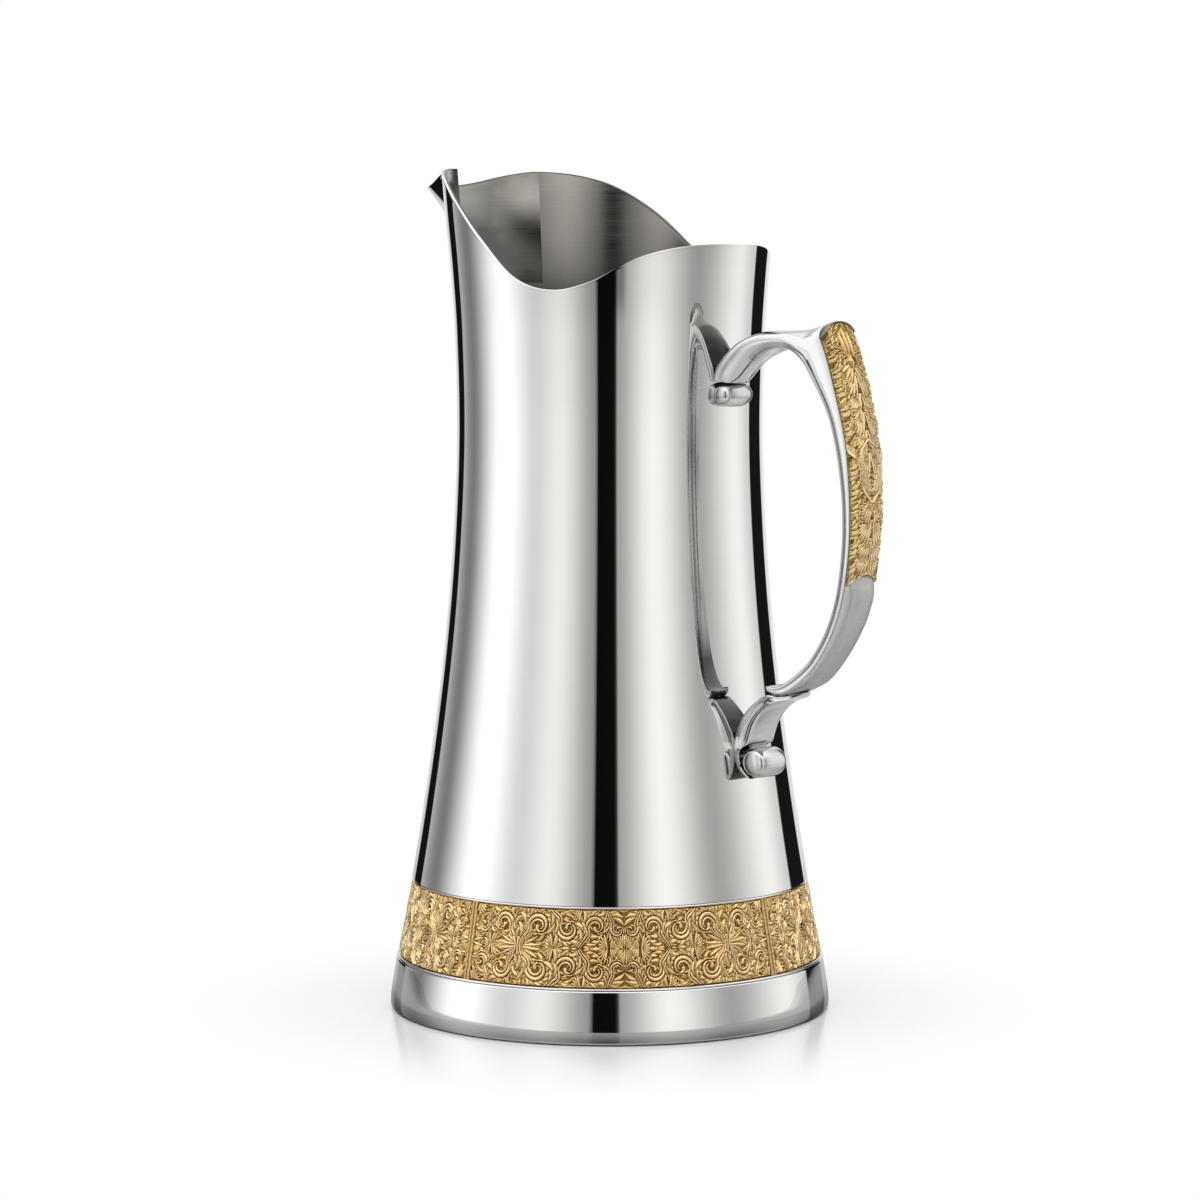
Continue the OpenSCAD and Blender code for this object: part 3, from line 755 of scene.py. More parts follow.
def band_relief(nx, ny):
    """A quarter of one panel: from its end to its middle, from the mid-line up."""
    rel = Relief(PANEL_L, PANEL_H, nx, ny)
    rng = np.random.default_rng(7)
    # eye, radius, start, sweep, tail, half width and outer side of each scroll
    S = [((3.5, 5.3), 2.9, 0.7, -6.2, [(7.3, 11.2), (6.5, 8.6)], 1.25, 1), ((10.9, 6.3), 4.0, -0.45, 6.4, [(15.9, 0.5), (15.5, 2.7)], 1.65, -1),
         ((23.7, 6.0), 4.4, 3.5, -6.6, [(17.3, 0.5), (18.0, 2.7)], 1.8, 1), ((33.3, 5.7), 4.3, 2.5, 6.6, [(26.6, 11.6), (28.4, 9.6)], 1.75, -1),
         ((42.2, 6.2), 3.9, 3.7, -6.4, [(36.4, 0.4), (37.6, 2.2)], 1.6, 1), ((49.0, 5.6), 2.7, 2.5, 5.8, [(45.2, 11.6), (46.0, 9.2)], 1.2, -1)]
    # leaves that fill the ground, swept round the scrolls
    for gx in np.arange(0.4, PANEL_L + 1, 1.8):
        for gy in np.arange(0.3, PANEL_H + 0.8, 1.7):
            p = np.array([gx, gy]) + rng.uniform(-0.5, 0.5, 2)
            c, r, a0, sw = min(S, key=lambda k: np.hypot(*(p - k[0])) - k[1])[:4]
            s = np.sign(sw)
            away = math.atan2(p[1] - c[1], p[0] - c[0])
            leaf(rel, p, away + s * rng.uniform(1.0, 1.7), rng.uniform(3.0, 4.6), s * rng.uniform(0.4, 1.0),
                 rng.uniform(0.5, 0.75), rng.uniform(0.52, 0.68), 2, 0.35)
    # feathered leaves from the edge and from the mid-line into the gaps
    for x, s in ((0.6, 1), (18.4, -1), (19.2, 1), (37.4, -1), (38.6, 1), (46.2, -1)):
        comb(rel, (x, PANEL_H + 0.3), -np.pi / 2 + 0.15 * s, -np.pi / 2 + 1.1 * s, 5, 4.6, 0.5 * s, 0.46, 0.84)
    for x, s in ((28.3, 1), (28.9, -1), (45.6, 1), (46.6, -1), (6.6, 1), (7.2, -1)):
        comb(rel, (x, -0.2), np.pi / 2 + 0.12 * s, np.pi / 2 + 1.15 * s, 5, 4.8, 0.5 * s, 0.46, 0.86)
    # a spray on one side of the collar, a tulip on the other
    for a, l, b, w in ((1.25, 4.2, -0.4, 0.7), (0.95, 5.4, -0.1, 0.7), (0.66, 6.2, 0.2, 0.7), (0.36, 6.8, 0.2, 0.66), (0.08, 7.4, 0.0, 0.66)):
        leaf(rel, (17.3, 0.2), a, l, b, w, 0.88)
    for c, r, a0, sw, tail, w, o in S:
        acanthus(rel, curl(c, r, a0, sw, tail), w, 0.97, 7, o)
    leaf(rel, (15.8, 0.2), np.pi - 0.12, 7.6, 0.1, 1.1, 0.86)
    comb(rel, (15.6, 0.4), np.pi - 0.05, np.pi - 0.6, 3, 6.6, -0.3, 0.5, 0.9)
    # the collar, pointed stones along the mid-line, leaves at the middle and at the end
    for d in (-0.8, 0.0, 0.8):
        rel.stroke(path([(16.6 + 2.0 * d, 2.5), (16.6 + 1.2 * d, 1.2), (16.6 + d, 0.0), (16.6 + d, -0.6)], 6), 0.36, 0.98, 0, 0.2)
    for x, a in ((32.2, 1.9), (35.2, 1.3), (42.0, 1.9), (26.2, 1.0)):
        rel.lozenge((x, 0.0), a, 0.40 * a, 0.96)
    comb(rel, (PANEL_L + 0.1, 0.2), np.pi / 2, np.pi - 0.2, 6, 4.6, -0.3, 0.5, 0.92)
    comb(rel, (-0.3, 0.2), 0.3, 1.5, 6, 4.0, -0.3, 0.5, 0.9)
    edge = smooth(PANEL_H - 0.10, PANEL_H - 0.40, rel.y)[:, None]
    rel.h = rel.h * edge + 0.12 * (1 - edge)
    return rel.h


def build_band():
    nx, ny = 316, 71
    quarter = band_relief(nx, ny)
    half = np.concatenate([quarter[:0:-1], quarter], 0)
    full = np.concatenate([half, half[:, -2::-1]], 1)
    rng = np.random.default_rng(21)
    rough = rng.normal(0, 1, full.shape)
    rough = (rough + np.roll(rough, 1, 0) + np.roll(rough, 1, 1)) * 0.006
    full = full + rough
    cav = cavity_of(full, PANEL_L / (nx - 1))
    hn = np.clip((full + 0.15) / 1.05, 0, 1)
    rows, cols = full.shape
    trim = math.asin(1.2 / float(band_r(28)))
    slope = math.atan2(BAND_R0 - BAND_R1, BAND_Z1 - BAND_Z0)
    z = np.linspace(BAND_Z0 + 0.05, BAND_Z1 - 0.05, rows)[:, None]
    for k in range(4):
        a = np.linspace(k * np.pi / 2 + trim + 0.0006, (k + 1) * np.pi / 2 - trim - 0.0006, cols)[None, :]
        d = full - 0.9
        rr = band_r(z) + d * math.cos(slope)
        zz = z + d * math.sin(slope) * smooth(0, 1.0, np.minimum(z - BAND_Z0, BAND_Z1 - z))
        v = np.stack([rr * np.cos(a), rr * np.sin(a), zz + 0 * a], -1).reshape(-1, 3)
        idx = np.arange(rows * cols).reshape(rows, cols)
        f = np.stack([idx[:-1, :-1], idx[:-1, 1:], idx[1:, 1:], idx[1:, :-1]], -1).reshape(-1, 4).tolist()
        b0 = rows * cols
        rb = seat_r(np.array([BAND_Z0 + 0.05, BAND_Z1 - 0.05])) + 0.02
        back = np.concatenate([np.stack([rb[j] * np.cos(a[0]), rb[j] * np.sin(a[0]),
                                         np.full(cols, (BAND_Z0 + 0.05, BAND_Z1 - 0.05)[j])], 1) for j in (0, 1)])
        lo, hi = b0 + np.arange(cols), b0 + cols + np.arange(cols)
        f += np.stack([lo[:-1], hi[:-1], hi[1:], lo[1:]], -1).tolist()
        f += np.stack([lo[:-1], lo[1:], idx[0, 1:], idx[0, :-1]], -1).tolist()
        f += np.stack([idx[-1, :-1], idx[-1, 1:], hi[1:], hi[:-1]], -1).tolist()
        f.append(idx[:, 0].tolist() + [int(hi[0]), int(lo[0])])
        f.append(idx[::-1, -1].tolist() + [int(lo[-1]), int(hi[-1])])
        zero = np.full(2 * cols, 0.2)
        add_mesh("gilt_panel_%d" % (k + 1), np.vstack([v, back]), f, [GILT], ["band_panel_%d" % (k + 1)], None, 0,
                 {"height": np.concatenate([hn.ravel(), zero]), "cavity": np.concatenate([cav.ravel(), zero])})


build_band()


def build_joints():
    """Four upright strips over the panel joints, each with two soft ridges."""
    nz, nc = 110, 25
    z = np.linspace(BAND_Z0 + 0.05, BAND_Z1 - 0.05, nz)
    u = np.linspace(-1, 1, nc)
    hs, cs, vs, fs = [], [], [], []
    base = 0
    ridge = np.exp(-((np.abs(u) - 0.55) / 0.24) ** 2)
    for k in range(4):
        worn = 0.05 * np.sin(z * 1.9 + k) + 0.04 * np.sin(z * 4.3 + 2 * k)
        d = -0.72 + ridge[None, :] * (0.66 + worn[:, None]) + 0.10 * (1 - u[None, :] ** 2)
        a = k * np.pi / 2 + u[None, :] * 1.16 / 65.0
        rr = band_r(z)[:, None] + d
        v = np.stack([rr * np.cos(a), rr * np.sin(a), z[:, None] + 0 * a], -1).reshape(-1, 3)
        idx = base + np.arange(nz * nc).reshape(nz, nc)
        f = np.stack([idx[:-1, :-1], idx[:-1, 1:], idx[1:, 1:], idx[1:, :-1]], -1).reshape(-1, 4).tolist()
        rb = seat_r(z) + 0.02
        aL, aR = a[0, 0], a[0, -1]
        L = np.stack([rb * math.cos(aL), rb * math.sin(aL), z], 1)
        R = np.stack([rb * math.cos(aR), rb * math.sin(aR), z], 1)
        li = base + nz * nc + np.arange(nz)
        ri = li + nz
        f += np.stack([li[:-1], li[1:], ri[1:], ri[:-1]], -1).tolist()
        f += np.stack([li[:-1], idx[:-1, 0], idx[1:, 0], li[1:]], -1).tolist()
        f += np.stack([idx[:-1, -1], ri[:-1], ri[1:], idx[1:, -1]], -1).tolist()
        f.append(idx[0].tolist() + [int(ri[0]), int(li[0])])
        f.append(idx[-1, ::-1].tolist() + [int(li[-1]), int(ri[-1])])
        vs += [v, L, R]
        fs += f
        hs += [np.clip((d.ravel() + 0.75) / 0.8, 0, 1), np.full(2 * nz, 0.2)]
        # cavity: brighter on the ridges, darker between, partly wear and partly painted highlight and painted shade
        cs += [np.clip(0.2 + 0.6 * (d.ravel() + 0.7) / 0.6, 0, 1), np.full(2 * nz, 0.2)]
        base += nz * nc + 2 * nz
    add_mesh("joint_strips", np.vstack(vs), fs, [GILT], ["band_joint_strips"], None, 60,
             {"height": np.concatenate(hs), "cavity": np.concatenate(cs)})


build_joints()

# ---- handle ----------------------------------------------------------------

ARM_TOP = [(43.5, 193), (46.6, 198), (49.9, 204), (54, 207.8), (58.5, 210), (64, 211.4), (71, 211.6), (77, 211.8),
           (81.5, 212.5), (86.4, 213.8)]
SEAT = [(86.4, 213.8), (88, 209), (90.1, 204), (92.1, 198), (94.5, 190), (96.4, 183), (97.7, 176), (98.4, 168),
        (98.8, 160), (98.7, 151), (98.1, 144), (97, 136.8)]
ARM_END = 213.8
OUT = [(98.9, 140.4), (99.3, 138.6), (99.8, 136.5), (100, 134.4), (99.7, 132), (97.5, 126), (93.9, 119.7), (89.2, 113.2), (83.6, 107.2), (79, 104.8)]
LAP = [(79, 104.8), (75, 103.2), (71, 102.8), (67.6, 103.4)]
INNER = [(68.8, 105.1), (71.5, 105.5), (76, 107.9), (80.2, 111), (83.7, 114.4), (88, 120.6), (91, 126.8), (93, 132.8),
         (94.3, 138.8), (95.1, 144.6), (95.6, 150.5), (95.7, 156.4), (95.5, 162.2), (94.9, 168), (94, 174),
         (92.7, 179.8), (91, 185.6), (88.5, 190.9), (84.7, 196.7), (80.5, 201.9), (76.2, 205.1), (72, 206.1),
         (66.5, 204.9), (61.5, 202.6), (57.4, 199.3), (54.8, 196.8), (53, 195.6)]
PLAQUE = [(89.2, 214.8), (91.5, 210.5), (93.6, 206), (95.7, 200), (97.9, 193), (100, 184.5), (101.5, 176),
          (102.3, 167.5), (102.4, 159.5), (102, 151), (101.2, 144.5), (100.2, 137.6)]
UP_BEAD, UP_R, UP_L = (49.4, 192.2), 3.7, 14.2
LO_BEAD, LO_R, LO_L = (61.9, 81.5), 4.6, 13.0
ARCH = 3.7


def half_width(z):
    return np.interp(z, [125, 185], [6.2, 7.0])


def ray_hit(p, d, line):
    """Nearest point of a polyline on the ray from p along d, or None."""
    best = None
    for a, b in zip(line[:-1], line[1:]):
        e = b - a
        det = d[0] * -e[1] + d[1] * e[0]
        if abs(det) < 1e-9:
            continue
        r = a - p
        t = (r[0] * -e[1] + r[1] * e[0]) / det
        u = (d[0] * r[1] - d[1] * r[0]) / det
        if t > 0.2 and -1e-6 <= u <= 1 + 1e-6 and (best is None or t < best):
            best = t
    return None if best is None else p + best * d


def arm_section(outer, w, hollow, line, soft=0.0):
    """Half of a cross-section from the outer middle to the inner middle: (y, q).

    outer gives the height of the outer face at a share of the half width, or the
    heights of a round face's middle and edge.
    """
    if isinstance(outer, tuple):
        T, S = outer
        e = min(0.5, 0.3 * S)
        a = np.linspace(0, np.pi / 2, 15)
        pts = np.stack([(w - 0.3) * np.sin(a) ** 0.67, S - 0.7 * e + (T - S + 0.7 * e) * np.cos(a) ** 0.67], 1).tolist()
        pts.append((w - 0.08, S - 0.8 * e))
    else:
        S = max(outer(1.0), 0.3)
        e = min(0.5, 0.3 * S)
        pts = [((w - e) * h, outer(h)) for h in np.linspace(0, 1, 13)]
        for a in np.radians([30, 60, 90]):
            pts.append((w - e + e * math.sin(a), S - e + e * math.cos(a)))
    f = min(1.0, S / 3.0)
    g = 1.35 * f
    for h in (0.4, 0.8, 1.0):
        pts.append((w, S - e + (min(g + 0.42 * f, S - e) - (S - e)) * h))
    thin = 0.2 + 0.8 * line
    for q, d in ((0.34, 0.02), (0.20, 0.50), (-0.16, 0.55), (-0.34, 0.10)):
        pts.append((w - d * line, g + q * f * thin))
    r = (g - 0.34 * f) / 2
    for a in np.radians(np.linspace(60, -90, 7)):
        pts.append((w - 0.9 * r * (1 - math.cos(a)) - 0.06 * line, r + r * math.sin(a)))
    for h in np.linspace(0.86, 0, 8):
        pts.append(((w - 0.45) * h, hollow * (1 - h**2) ** 1.2))
    p = np.array(pts)
    # where the side is slanted, one soft bend takes the place of the edge
    t = np.linspace(0, 1, len(p) - 15)[1:] * np.pi / 2
    bend = np.stack([w * np.cos(t), (S - e) * (1 - np.sin(t))], 1)
    p[16:] = (1 - soft) * p[16:] + soft * bend
    return p


GROOVE = range(18, 22)
EDGE_FACE = (17, 22, 23, 24, 25, 26)
INNER_FACE = range(27, 37)
FACE = range(0, 14)


def section_mats(count, dark, groove, satin, root):
    """Material of each face round one ring: back and groove with painted shade, satin face below the plaque, root with
    a painted dark reflection, edge duller and with painted shade.
    """
    half = [3 if groove and j in GROOVE else 1 if dark and j in INNER_FACE else 2 if satin and j in FACE else 5 if root and j < 12
            else 6 if j in EDGE_FACE else 0 for j in range(count // 2)]
    return half + half[::-1]


def ring_of(I, O, half):
    """Closed loop of a section laid from inner point I to outer point O."""
    d = O - I
    T = np.hypot(*d)
    d = d / max(T, 1e-6)
    full = np.vstack([half, (half * [-1, 1])[-2:0:-1]])
    p = np.empty((len(full), 3))
    p[:, 0] = I[0] + d[0] * full[:, 1]
    p[:, 2] = I[1] + d[1] * full[:, 1]
    p[:, 1] = full[:, 0]
    return p


def seat_on_wall(p, sink=0.3):
    """Keeps points of a piece from reaching deeper than just into the wall."""
    r = wall_r(np.clip(p[..., 2], 45, 250)) - sink
    x = np.sqrt(np.maximum(r**2 - p[..., 1] ** 2, 0))
    p[..., 0] = np.maximum(p[..., 0], x)
    return p


def clear_of_bead(p, c, r, l):
    """Leaves a fine gap round a bead's axis."""
    dx, dz = p[..., 0] - c[0], p[..., 2] - c[1]
    d = np.hypot(dx, dz)
    near = (d < r) & (np.abs(p[..., 1]) < l / 2)
    k = np.where(near, r / np.maximum(d, 1e-3), 1)
    p[..., 0] = c[0] + dx * k
    p[..., 2] = c[1] + dz * k
    return p


def plaque_at(s, u):
    """Plaque's smooth outer surface at a length s from its top and a share u across."""
    seat, out = resample(path(SEAT, 12), 900), resample(path(PLAQUE, 12), 900)
    grid = np.linspace(0, lengths(seat)[-1], 900)
    sx, sz, ox, oz = (np.interp(s, grid, ln[:, j]) for ln in (seat, out) for j in (0, 1))
    T = np.hypot(ox - sx, oz - sz)
    y = half_width(sz) * np.sin(u * 1.30) / math.sin(1.30)
    q = T - 1.2 * np.abs(u) ** 2.2 - (T - 1.6) * smooth(0.84, 1.0, np.abs(u))
    return {"x": sx, "z": sz, "dx": (ox - sx) / T, "dz": (oz - sz) / T, "y": y, "q": q, "end": grid[-1]}


def build_arm():
    inner = resample(path(INNER[::-1], 12), 230)
    top = np.vstack([[(43, 186)], path(ARM_TOP, 10)])
    seat = path(SEAT, 10)
    seat = seat[seat[:, 1] > 139.4]
    low = np.vstack([path(OUT, 10), path(LAP, 6)[1:]])
    tang = np.gradient(inner, axis=0)
    tang /= np.linalg.norm(tang, axis=1)[:, None]
    rings, tone = [], []

    def lay(I, O, half, dark=False, groove=False, satin=False):
        rings.append(ring_of(I, O, half))
        # the last flag marks the arm's top by the wall for its painted dark reflection
        tone.append((dark, groove, satin, O[0] < 86 and O[1] > 150))

    def flat(T):
        return lambda h: T - 0.05 * h**2

    # the end above the upper bead, fanned out against the wall
    first = next(k for k in range(len(inner)) if inner[k][0] > 56.6)
    o_end = ray_hit(inner[first], np.array([-tang[first][1], tang[first][0]]), top)
    wall_line = path([(46.5, 196.7), (46.8, 198.5), (47.9, 201.4), tuple(o_end)], 10)
    wall_line = resample(wall_line, first)
    crown_end = 0.9 / max(tang[first][0], 0.6)
    for k in range(first):
        I, O = inner[k], wall_line[k]
        t, T = k / first, np.hypot(*(O - I))
        lay(I, O, arm_section(lambda h: T - (0.5 + (crown_end - 0.5) * t) * h**2.1, 7.0, 0.35, 0.0, 1.0))
    last, T_prev = 0, 0
    for p, tg in zip(inner[first:], tang[first:]):
        nrm = np.array([-tg[1], tg[0]])
        hits = [(ray_hit(p, nrm, ln), i) for i, ln in enumerate((top, seat, low))]
        hits = [(np.hypot(*(h - p)), h, i) for h, i in hits if h is not None]
        if not hits:
            continue
        T, O, zone = min(hits, key=lambda k: k[0])
        w = float(half_width(p[1]))
        back, cut_in = nrm[0] > 0.35, nrm[0] > 0.2
        up = max(nrm[1], 0.6)
        # the edge line starts past the bend
        rim = float(smooth(79, 92, p[0])) if p[1] > 160 else 1.0
        round_in = 1 - float(smooth(59, 90, p[0])) if p[1] > 160 else 0.0
        if zone == 0:
            crown = min((0.9 + (ARCH - 0.9) * float(smooth(73, 86, O[0]))) / up, 0.62 * T)
            shape = lambda h: T - crown * h**2.1
            half = arm_section(shape, w, 0.5, rim, round_in)
        elif zone == 1:
            # under the plaque the seat is flat, below the arched lip
            top_q = (ARM_END - p[1]) / up
            shape = lambda h: min(T - 0.05 * h**2, top_q - ARCH / up * h**2.1)
            half = arm_section(shape, w, -0.6, rim, round_in)
        else:
            # below the plaque the strap is round outside
            S = T - float(smooth(66, 77, p[0]) * 0.9 + 0.1) * max(T - 3.0, 0.25 * T)
            half = arm_section((T, S), w, -0.6 * float(smooth(70, 80, p[0])), float(smooth(67, 71, p[0])))
        if zone == 2 and last == 1:
            O2 = p + nrm * (T_prev + 0.02)
            lay(p - tg * 0.02, O2 - tg * 0.02, arm_section(flat(T_prev), w, -0.6, 1.0), back, cut_in)
        lay(p, O, half, back, cut_in and (zone == 2 or rim > 0.06), zone == 2)
        last, T_prev, prev_p = zone, T, p
    # the lap's end faces take the back's painted shade
    for I, O, w in (((67.9, 105.35), (67.4, 103.75), 6.1), ((67.3, 105.5), (66.95, 104.3), 6.0), ((66.95, 105.35), (66.8, 104.75), 5.8)):
        I, O = np.array(I), np.array(O)
        lay(I, O, arm_section(flat(np.hypot(*(O - I))), w, 0.05, 0.3), True)
    r = np.array(rings)
    r = clear_of_bead(r, UP_BEAD, UP_R + 0.12, UP_L - 0.6)
    r = seat_on_wall(r)
    v, f = loft(r)
    mats = [m for a in tone[:-1] for m in section_mats(r.shape[1], *a)] + [0, 0]
    # the bead-like lip over the top of the plaque, near-black as painted shade
    u = np.linspace(-1, 1, 61)
    g = plaque_at(0.55 + (ARCH + 0.35) * np.abs(u) ** 2.2, u)
    rise, reach = 0.5 * g["q"] - 0.05, (0.5 * g["q"] + 0.4)[:, None, None]
    mid = np.stack([g["x"] + g["dx"] * rise, g["y"], g["z"] + g["dz"] * rise], 1)
    d = np.stack([g["dx"], 0 * u, g["dz"]], 1)
    run = np.gradient(mid, axis=0)
    b = np.cross(run / np.linalg.norm(run, axis=1)[:, None], d)
    a = np.linspace(0, 2 * np.pi, 20, endpoint=False)[None, :, None]
    lv, lf = loft(mid[:, None] + reach * np.cos(a) * d[:, None] + 0.42 * np.sin(a) * b[:, None])
    f += [[i + len(v) for i in q] for q in lf]
    mats += [4] * len(lf)
    add_mesh("handle", np.vstack([v, lv]), f, [CAST, BACK_PAINTED_SHADE, STRAP, GROOVE_PAINTED_SHADE, LIP_PAINTED_SHADE, ROOT_PAINTED_REFLECTION, BEVEL_PAINTED_SHADE], ["handle_arm"], mats, 40)


build_arm()


def bead_mesh(name, c, prof, node, mat):
    """Bead turned about an axis along Y from half a profile of (y, r), tip first."""
    prof = path(prof, 5)
    prof = np.vstack([prof, (prof * [-1, 1])[-2::-1]])
    n = 72
    t = np.linspace(0, 2 * np.pi, n, endpoint=False)
    ring = prof[1:-1]
    v = np.empty((len(ring), n, 3))
    v[..., 0] = c[0] + ring[:, 1:] * np.cos(t)
    v[..., 1] = ring[:, :1]
    v[..., 2] = c[1] + ring[:, 1:] * np.sin(t)
    m = len(ring)
    idx = np.arange(m * n).reshape(m, n)
    nx = np.roll(idx, -1, 1)
    f = np.stack([idx[:-1], nx[:-1], nx[1:], idx[1:]], -1).reshape(-1, 4).tolist()
    a, b = m * n, m * n + 1
    f += [[a, int(nx[0, i]), int(idx[0, i])] for i in range(n)]
    f += [[b, int(idx[-1, i]), int(nx[-1, i])] for i in range(n)]
    v = np.vstack([v.reshape(-1, 3), [(c[0], prof[0, 0], c[1]), (c[0], prof[-1, 0], c[1])]])
    add_mesh(name, seat_on_wall(v, 0.5), f, [mat], [node], None, 60)


bead_mesh("bead_upper", UP_BEAD, [(7.1, 0), (7.02, 0.9), (6.75, 1.7), (6.2, 2.45), (5.2, 3.05), (3.6, 3.5), (1.8, 3.67), (0, 3.7)], "upper_bead", BEAD_SOFT)
bead_mesh("bead_lower", LO_BEAD, [(6.5, 0), (6.46, 1.2), (6.34, 2.3), (6.08, 3.2), (5.6, 3.9), (4.7, 4.32), (3.3, 4.53), (1.7, 4.59), (0, 4.6)], "lower_bead", BEAD)

# ---- bracket ---------------------------------------------------------------

BRACKET = [((79.2, 104.1), (79.2, 103.8), 0.7), ((77.2, 103.8), (77.4, 103.0), 2.6), ((74.4, 103.0), (74.8, 101.8), 4.9),
           ((71, 102.55), (72, 101.0), 5.9), ((67.6, 102.8), (69.2, 99.9), 6.2), ((64, 101.4), (66.8, 98.3), 6.2),
           ((60.2, 98.6), (64.4, 95.9), 6.2), ((57.2, 95.2), (62.7, 93.2), 6.2), ((55.4, 91.5), (61.5, 90.3), 6.2),
           ((54.4, 88.2), (60.4, 87.4), 6.2), ((54.35, 86.2), (58.6, 86.3), 6.2), ((54.5, 84.6), (57.0, 84.8), 6.2),
           ((55.0, 82.6), (56.8, 82.8), 6.2), ((55.8, 80.8), (57.2, 81.1), 6.2), ((57.2, 78.8), (58.3, 79.3), 6.2),
           ((59.4, 77.2), (60.0, 77.8), 6.15), ((61, 76.75), (61.2, 77.05), 6.1)]


def build_bracket():
    B = path([k[0] for k in BRACKET], 9)
    F = path([k[1] for k in BRACKET], 9)
    W = path([(k[2], 0) for k in BRACKET], 9)[:, 0]
    rings = []
    for b, f, w in zip(B, F, W):
        T = np.hypot(*(f - b))
        zm = 0.5 * (b[1] + f[1])
        on = float(smooth(103.2, 99.5, zm) * smooth(84.5, 89.0, zm))
        flute = min(1.2, 0.26 * T) * on
        hol = min(0.3, 0.1 * T) * on
        lean = 0.9 * on
        e = min(0.35, 0.25 * T)
        wb = w - lean
        pts = [((wb - e) * h, 0.12 * h**2) for h in np.linspace(0, 1, 7)]
        pts += [(wb - e * (1 - math.sin(a)), 0.12 + e * (1 - math.cos(a))) for a in np.radians([35, 65, 90])]
        q0, q1 = 0.12 + e + 0.10 * T, T - 0.08 * T
        for h in np.linspace(0, 1, 13):
            y = wb + (w - wb) * h
            pts.append((y - flute * math.sin(math.pi * h) ** 0.8 if 0 < h < 1 else y, q0 + (q1 - q0) * h))
        pts += [(w - 0.15 * e, T - 0.35 * e), (w - 0.6 * e, T - 0.04 * e)]
        pts += [((w - e) * h, T - hol * (1 - h**2) ** 1.3) for h in np.linspace(0.95, 0, 9)]
        count = len(pts)
        rings.append(ring_of(b, f, np.array(pts)))
    r = np.array(rings)
    r = clear_of_bead(r, LO_BEAD, LO_R + 0.12, LO_L - 1.0)
    r = seat_on_wall(r)
    v, f = loft(r)
    # the faces towards the wall take the back's painted shade, near black this low
    half = [1 if j < 6 else 0 for j in range(count - 1)]
    mats = (half + half[::-1]) * (len(r) - 1) + [0, 0]
    add_mesh("bracket", v, f, [CAST, BACK_PAINTED_SHADE], ["lower_bracket"], mats, 40)


build_bracket()

# ---- plaque ----------------------------------------------------------------

PLQ_L, PLQ_W = 78.0, 8.0


def plaque_relief(nx, ny):
    """Half of the plaque: along its length from the top, from the mid-line out."""
    rel = Relief(PLQ_L, PLQ_W, nx, ny)
    rng = np.random.default_rng(11)
    for gx in np.arange(0.4, PLQ_L + 1, 1.8):
        for gy in np.arange(0.3, PLQ_W + 0.8, 1.7):
            p = np.array([gx, gy]) + rng.uniform(-0.5, 0.5, 2)
            leaf(rel, p, rng.uniform(0.2, 1.3), rng.uniform(3.0, 4.6), rng.uniform(-0.9, 0.9),
                 rng.uniform(0.5, 0.8), rng.uniform(0.54, 0.70), 2, 0.35)
    # lobes along the edge
    for k, x in enumerate(np.arange(0.8, PLQ_L, 2.9)):
        leaf(rel, (x, PLQ_W - 3.0), 0.7 + 0.5 * (k % 2), 3.8, 0.5, 0.95, 0.84, 3, 0.5)
    # feathered leaves that part from the middle, the upper over the lower
    for x, l in ((75.0, 4.5), (70.0, 8.0), (64.6, 8.6), (59.2, 8.6), (53.4, 7.0), (33.0, 8.0), (27.6, 8.4), (22.0, 8.4), (15.6, 8.4)):
        comb(rel, (x, 0.3), 0.12, 1.25 + rng.uniform(-0.15, 0.15), 7, l, 0.35 + rng.uniform(-0.25, 0.25), 0.55, 0.92)
    # small scrolls by the edge
    for c, r, a0, sw, tail, w, o in (((19.6, 4.9), 2.1, 3.6, -5.8, [(15.4, 1.2), (16.4, 2.8)], 0.85, 1),
                                     ((31.0, 5.0), 2.2, 3.6, -5.8, [(26.2, 1.0), (27.6, 2.8)], 0.9, 1),
                                     ((58.2, 5.0), 2.2, 3.6, -5.8, [(53.6, 1.0), (54.8, 2.8)], 0.9, 1)):
        acanthus(rel, curl(c, r, a0, sw, tail), w, 0.95, 5, o)
    # two loops that cross in the middle, combed leaves between them
    comb(rel, (39.6, 0.2), 0.10, 1.0, 6, 8.2, 0.2, 0.5, 0.86)
    for d in (-0.62, 0.0, 0.62):
        rel.stroke(path([(35.6, 0.2), (39.0, 2.9 + d), (44.0, 4.6 + d), (49.4, 3.4 + d), (54.0, 0.2)], 8), 0.36, 0.95, 0, 0.2)
        rel.stroke(path([(36.0, 8.2), (40.4, 6.4 + d), (45.4, 3.2 + d), (50.6, 0.9 + d)], 8), 0.34, 0.97, 0, 0.2)
    # curled leaves at the top, over a stone
    acanthus(rel, curl((4.6, 4.4), 2.6, 0.2, 5.6, [(10.6, 1.0), (8.6, 2.6)], 0.2), 1.05, 0.94, 5, -1)
    for y, l in ((1.3, 8.0), (0.0, 9.4)):
        leaf(rel, (10.6, y), np.pi - 0.06 * y, l, 0.04 * y, 0.8, 0.93, 2, 0.45)
    for x, a in ((13.0, 1.25), (13.4, 0.85), (13.8, 0.45)):
        leaf(rel, (x, 0.4), a, 5.4, -0.3, 0.8, 0.92, 2, 0.45)
    p = path([(66.0, 0.0), (71, 0.0), (77, 0.0)], 8)
    rel.stroke(p, np.linspace(0.6, 0.4, len(p)), 0.9, 0)
    rel.lozenge((12.0, 0.0), 2.7, 2.3, 0.98)
    rel.lozenge((56.0, 0.0), 1.6, 1.0, 0.96)
    return rel.h


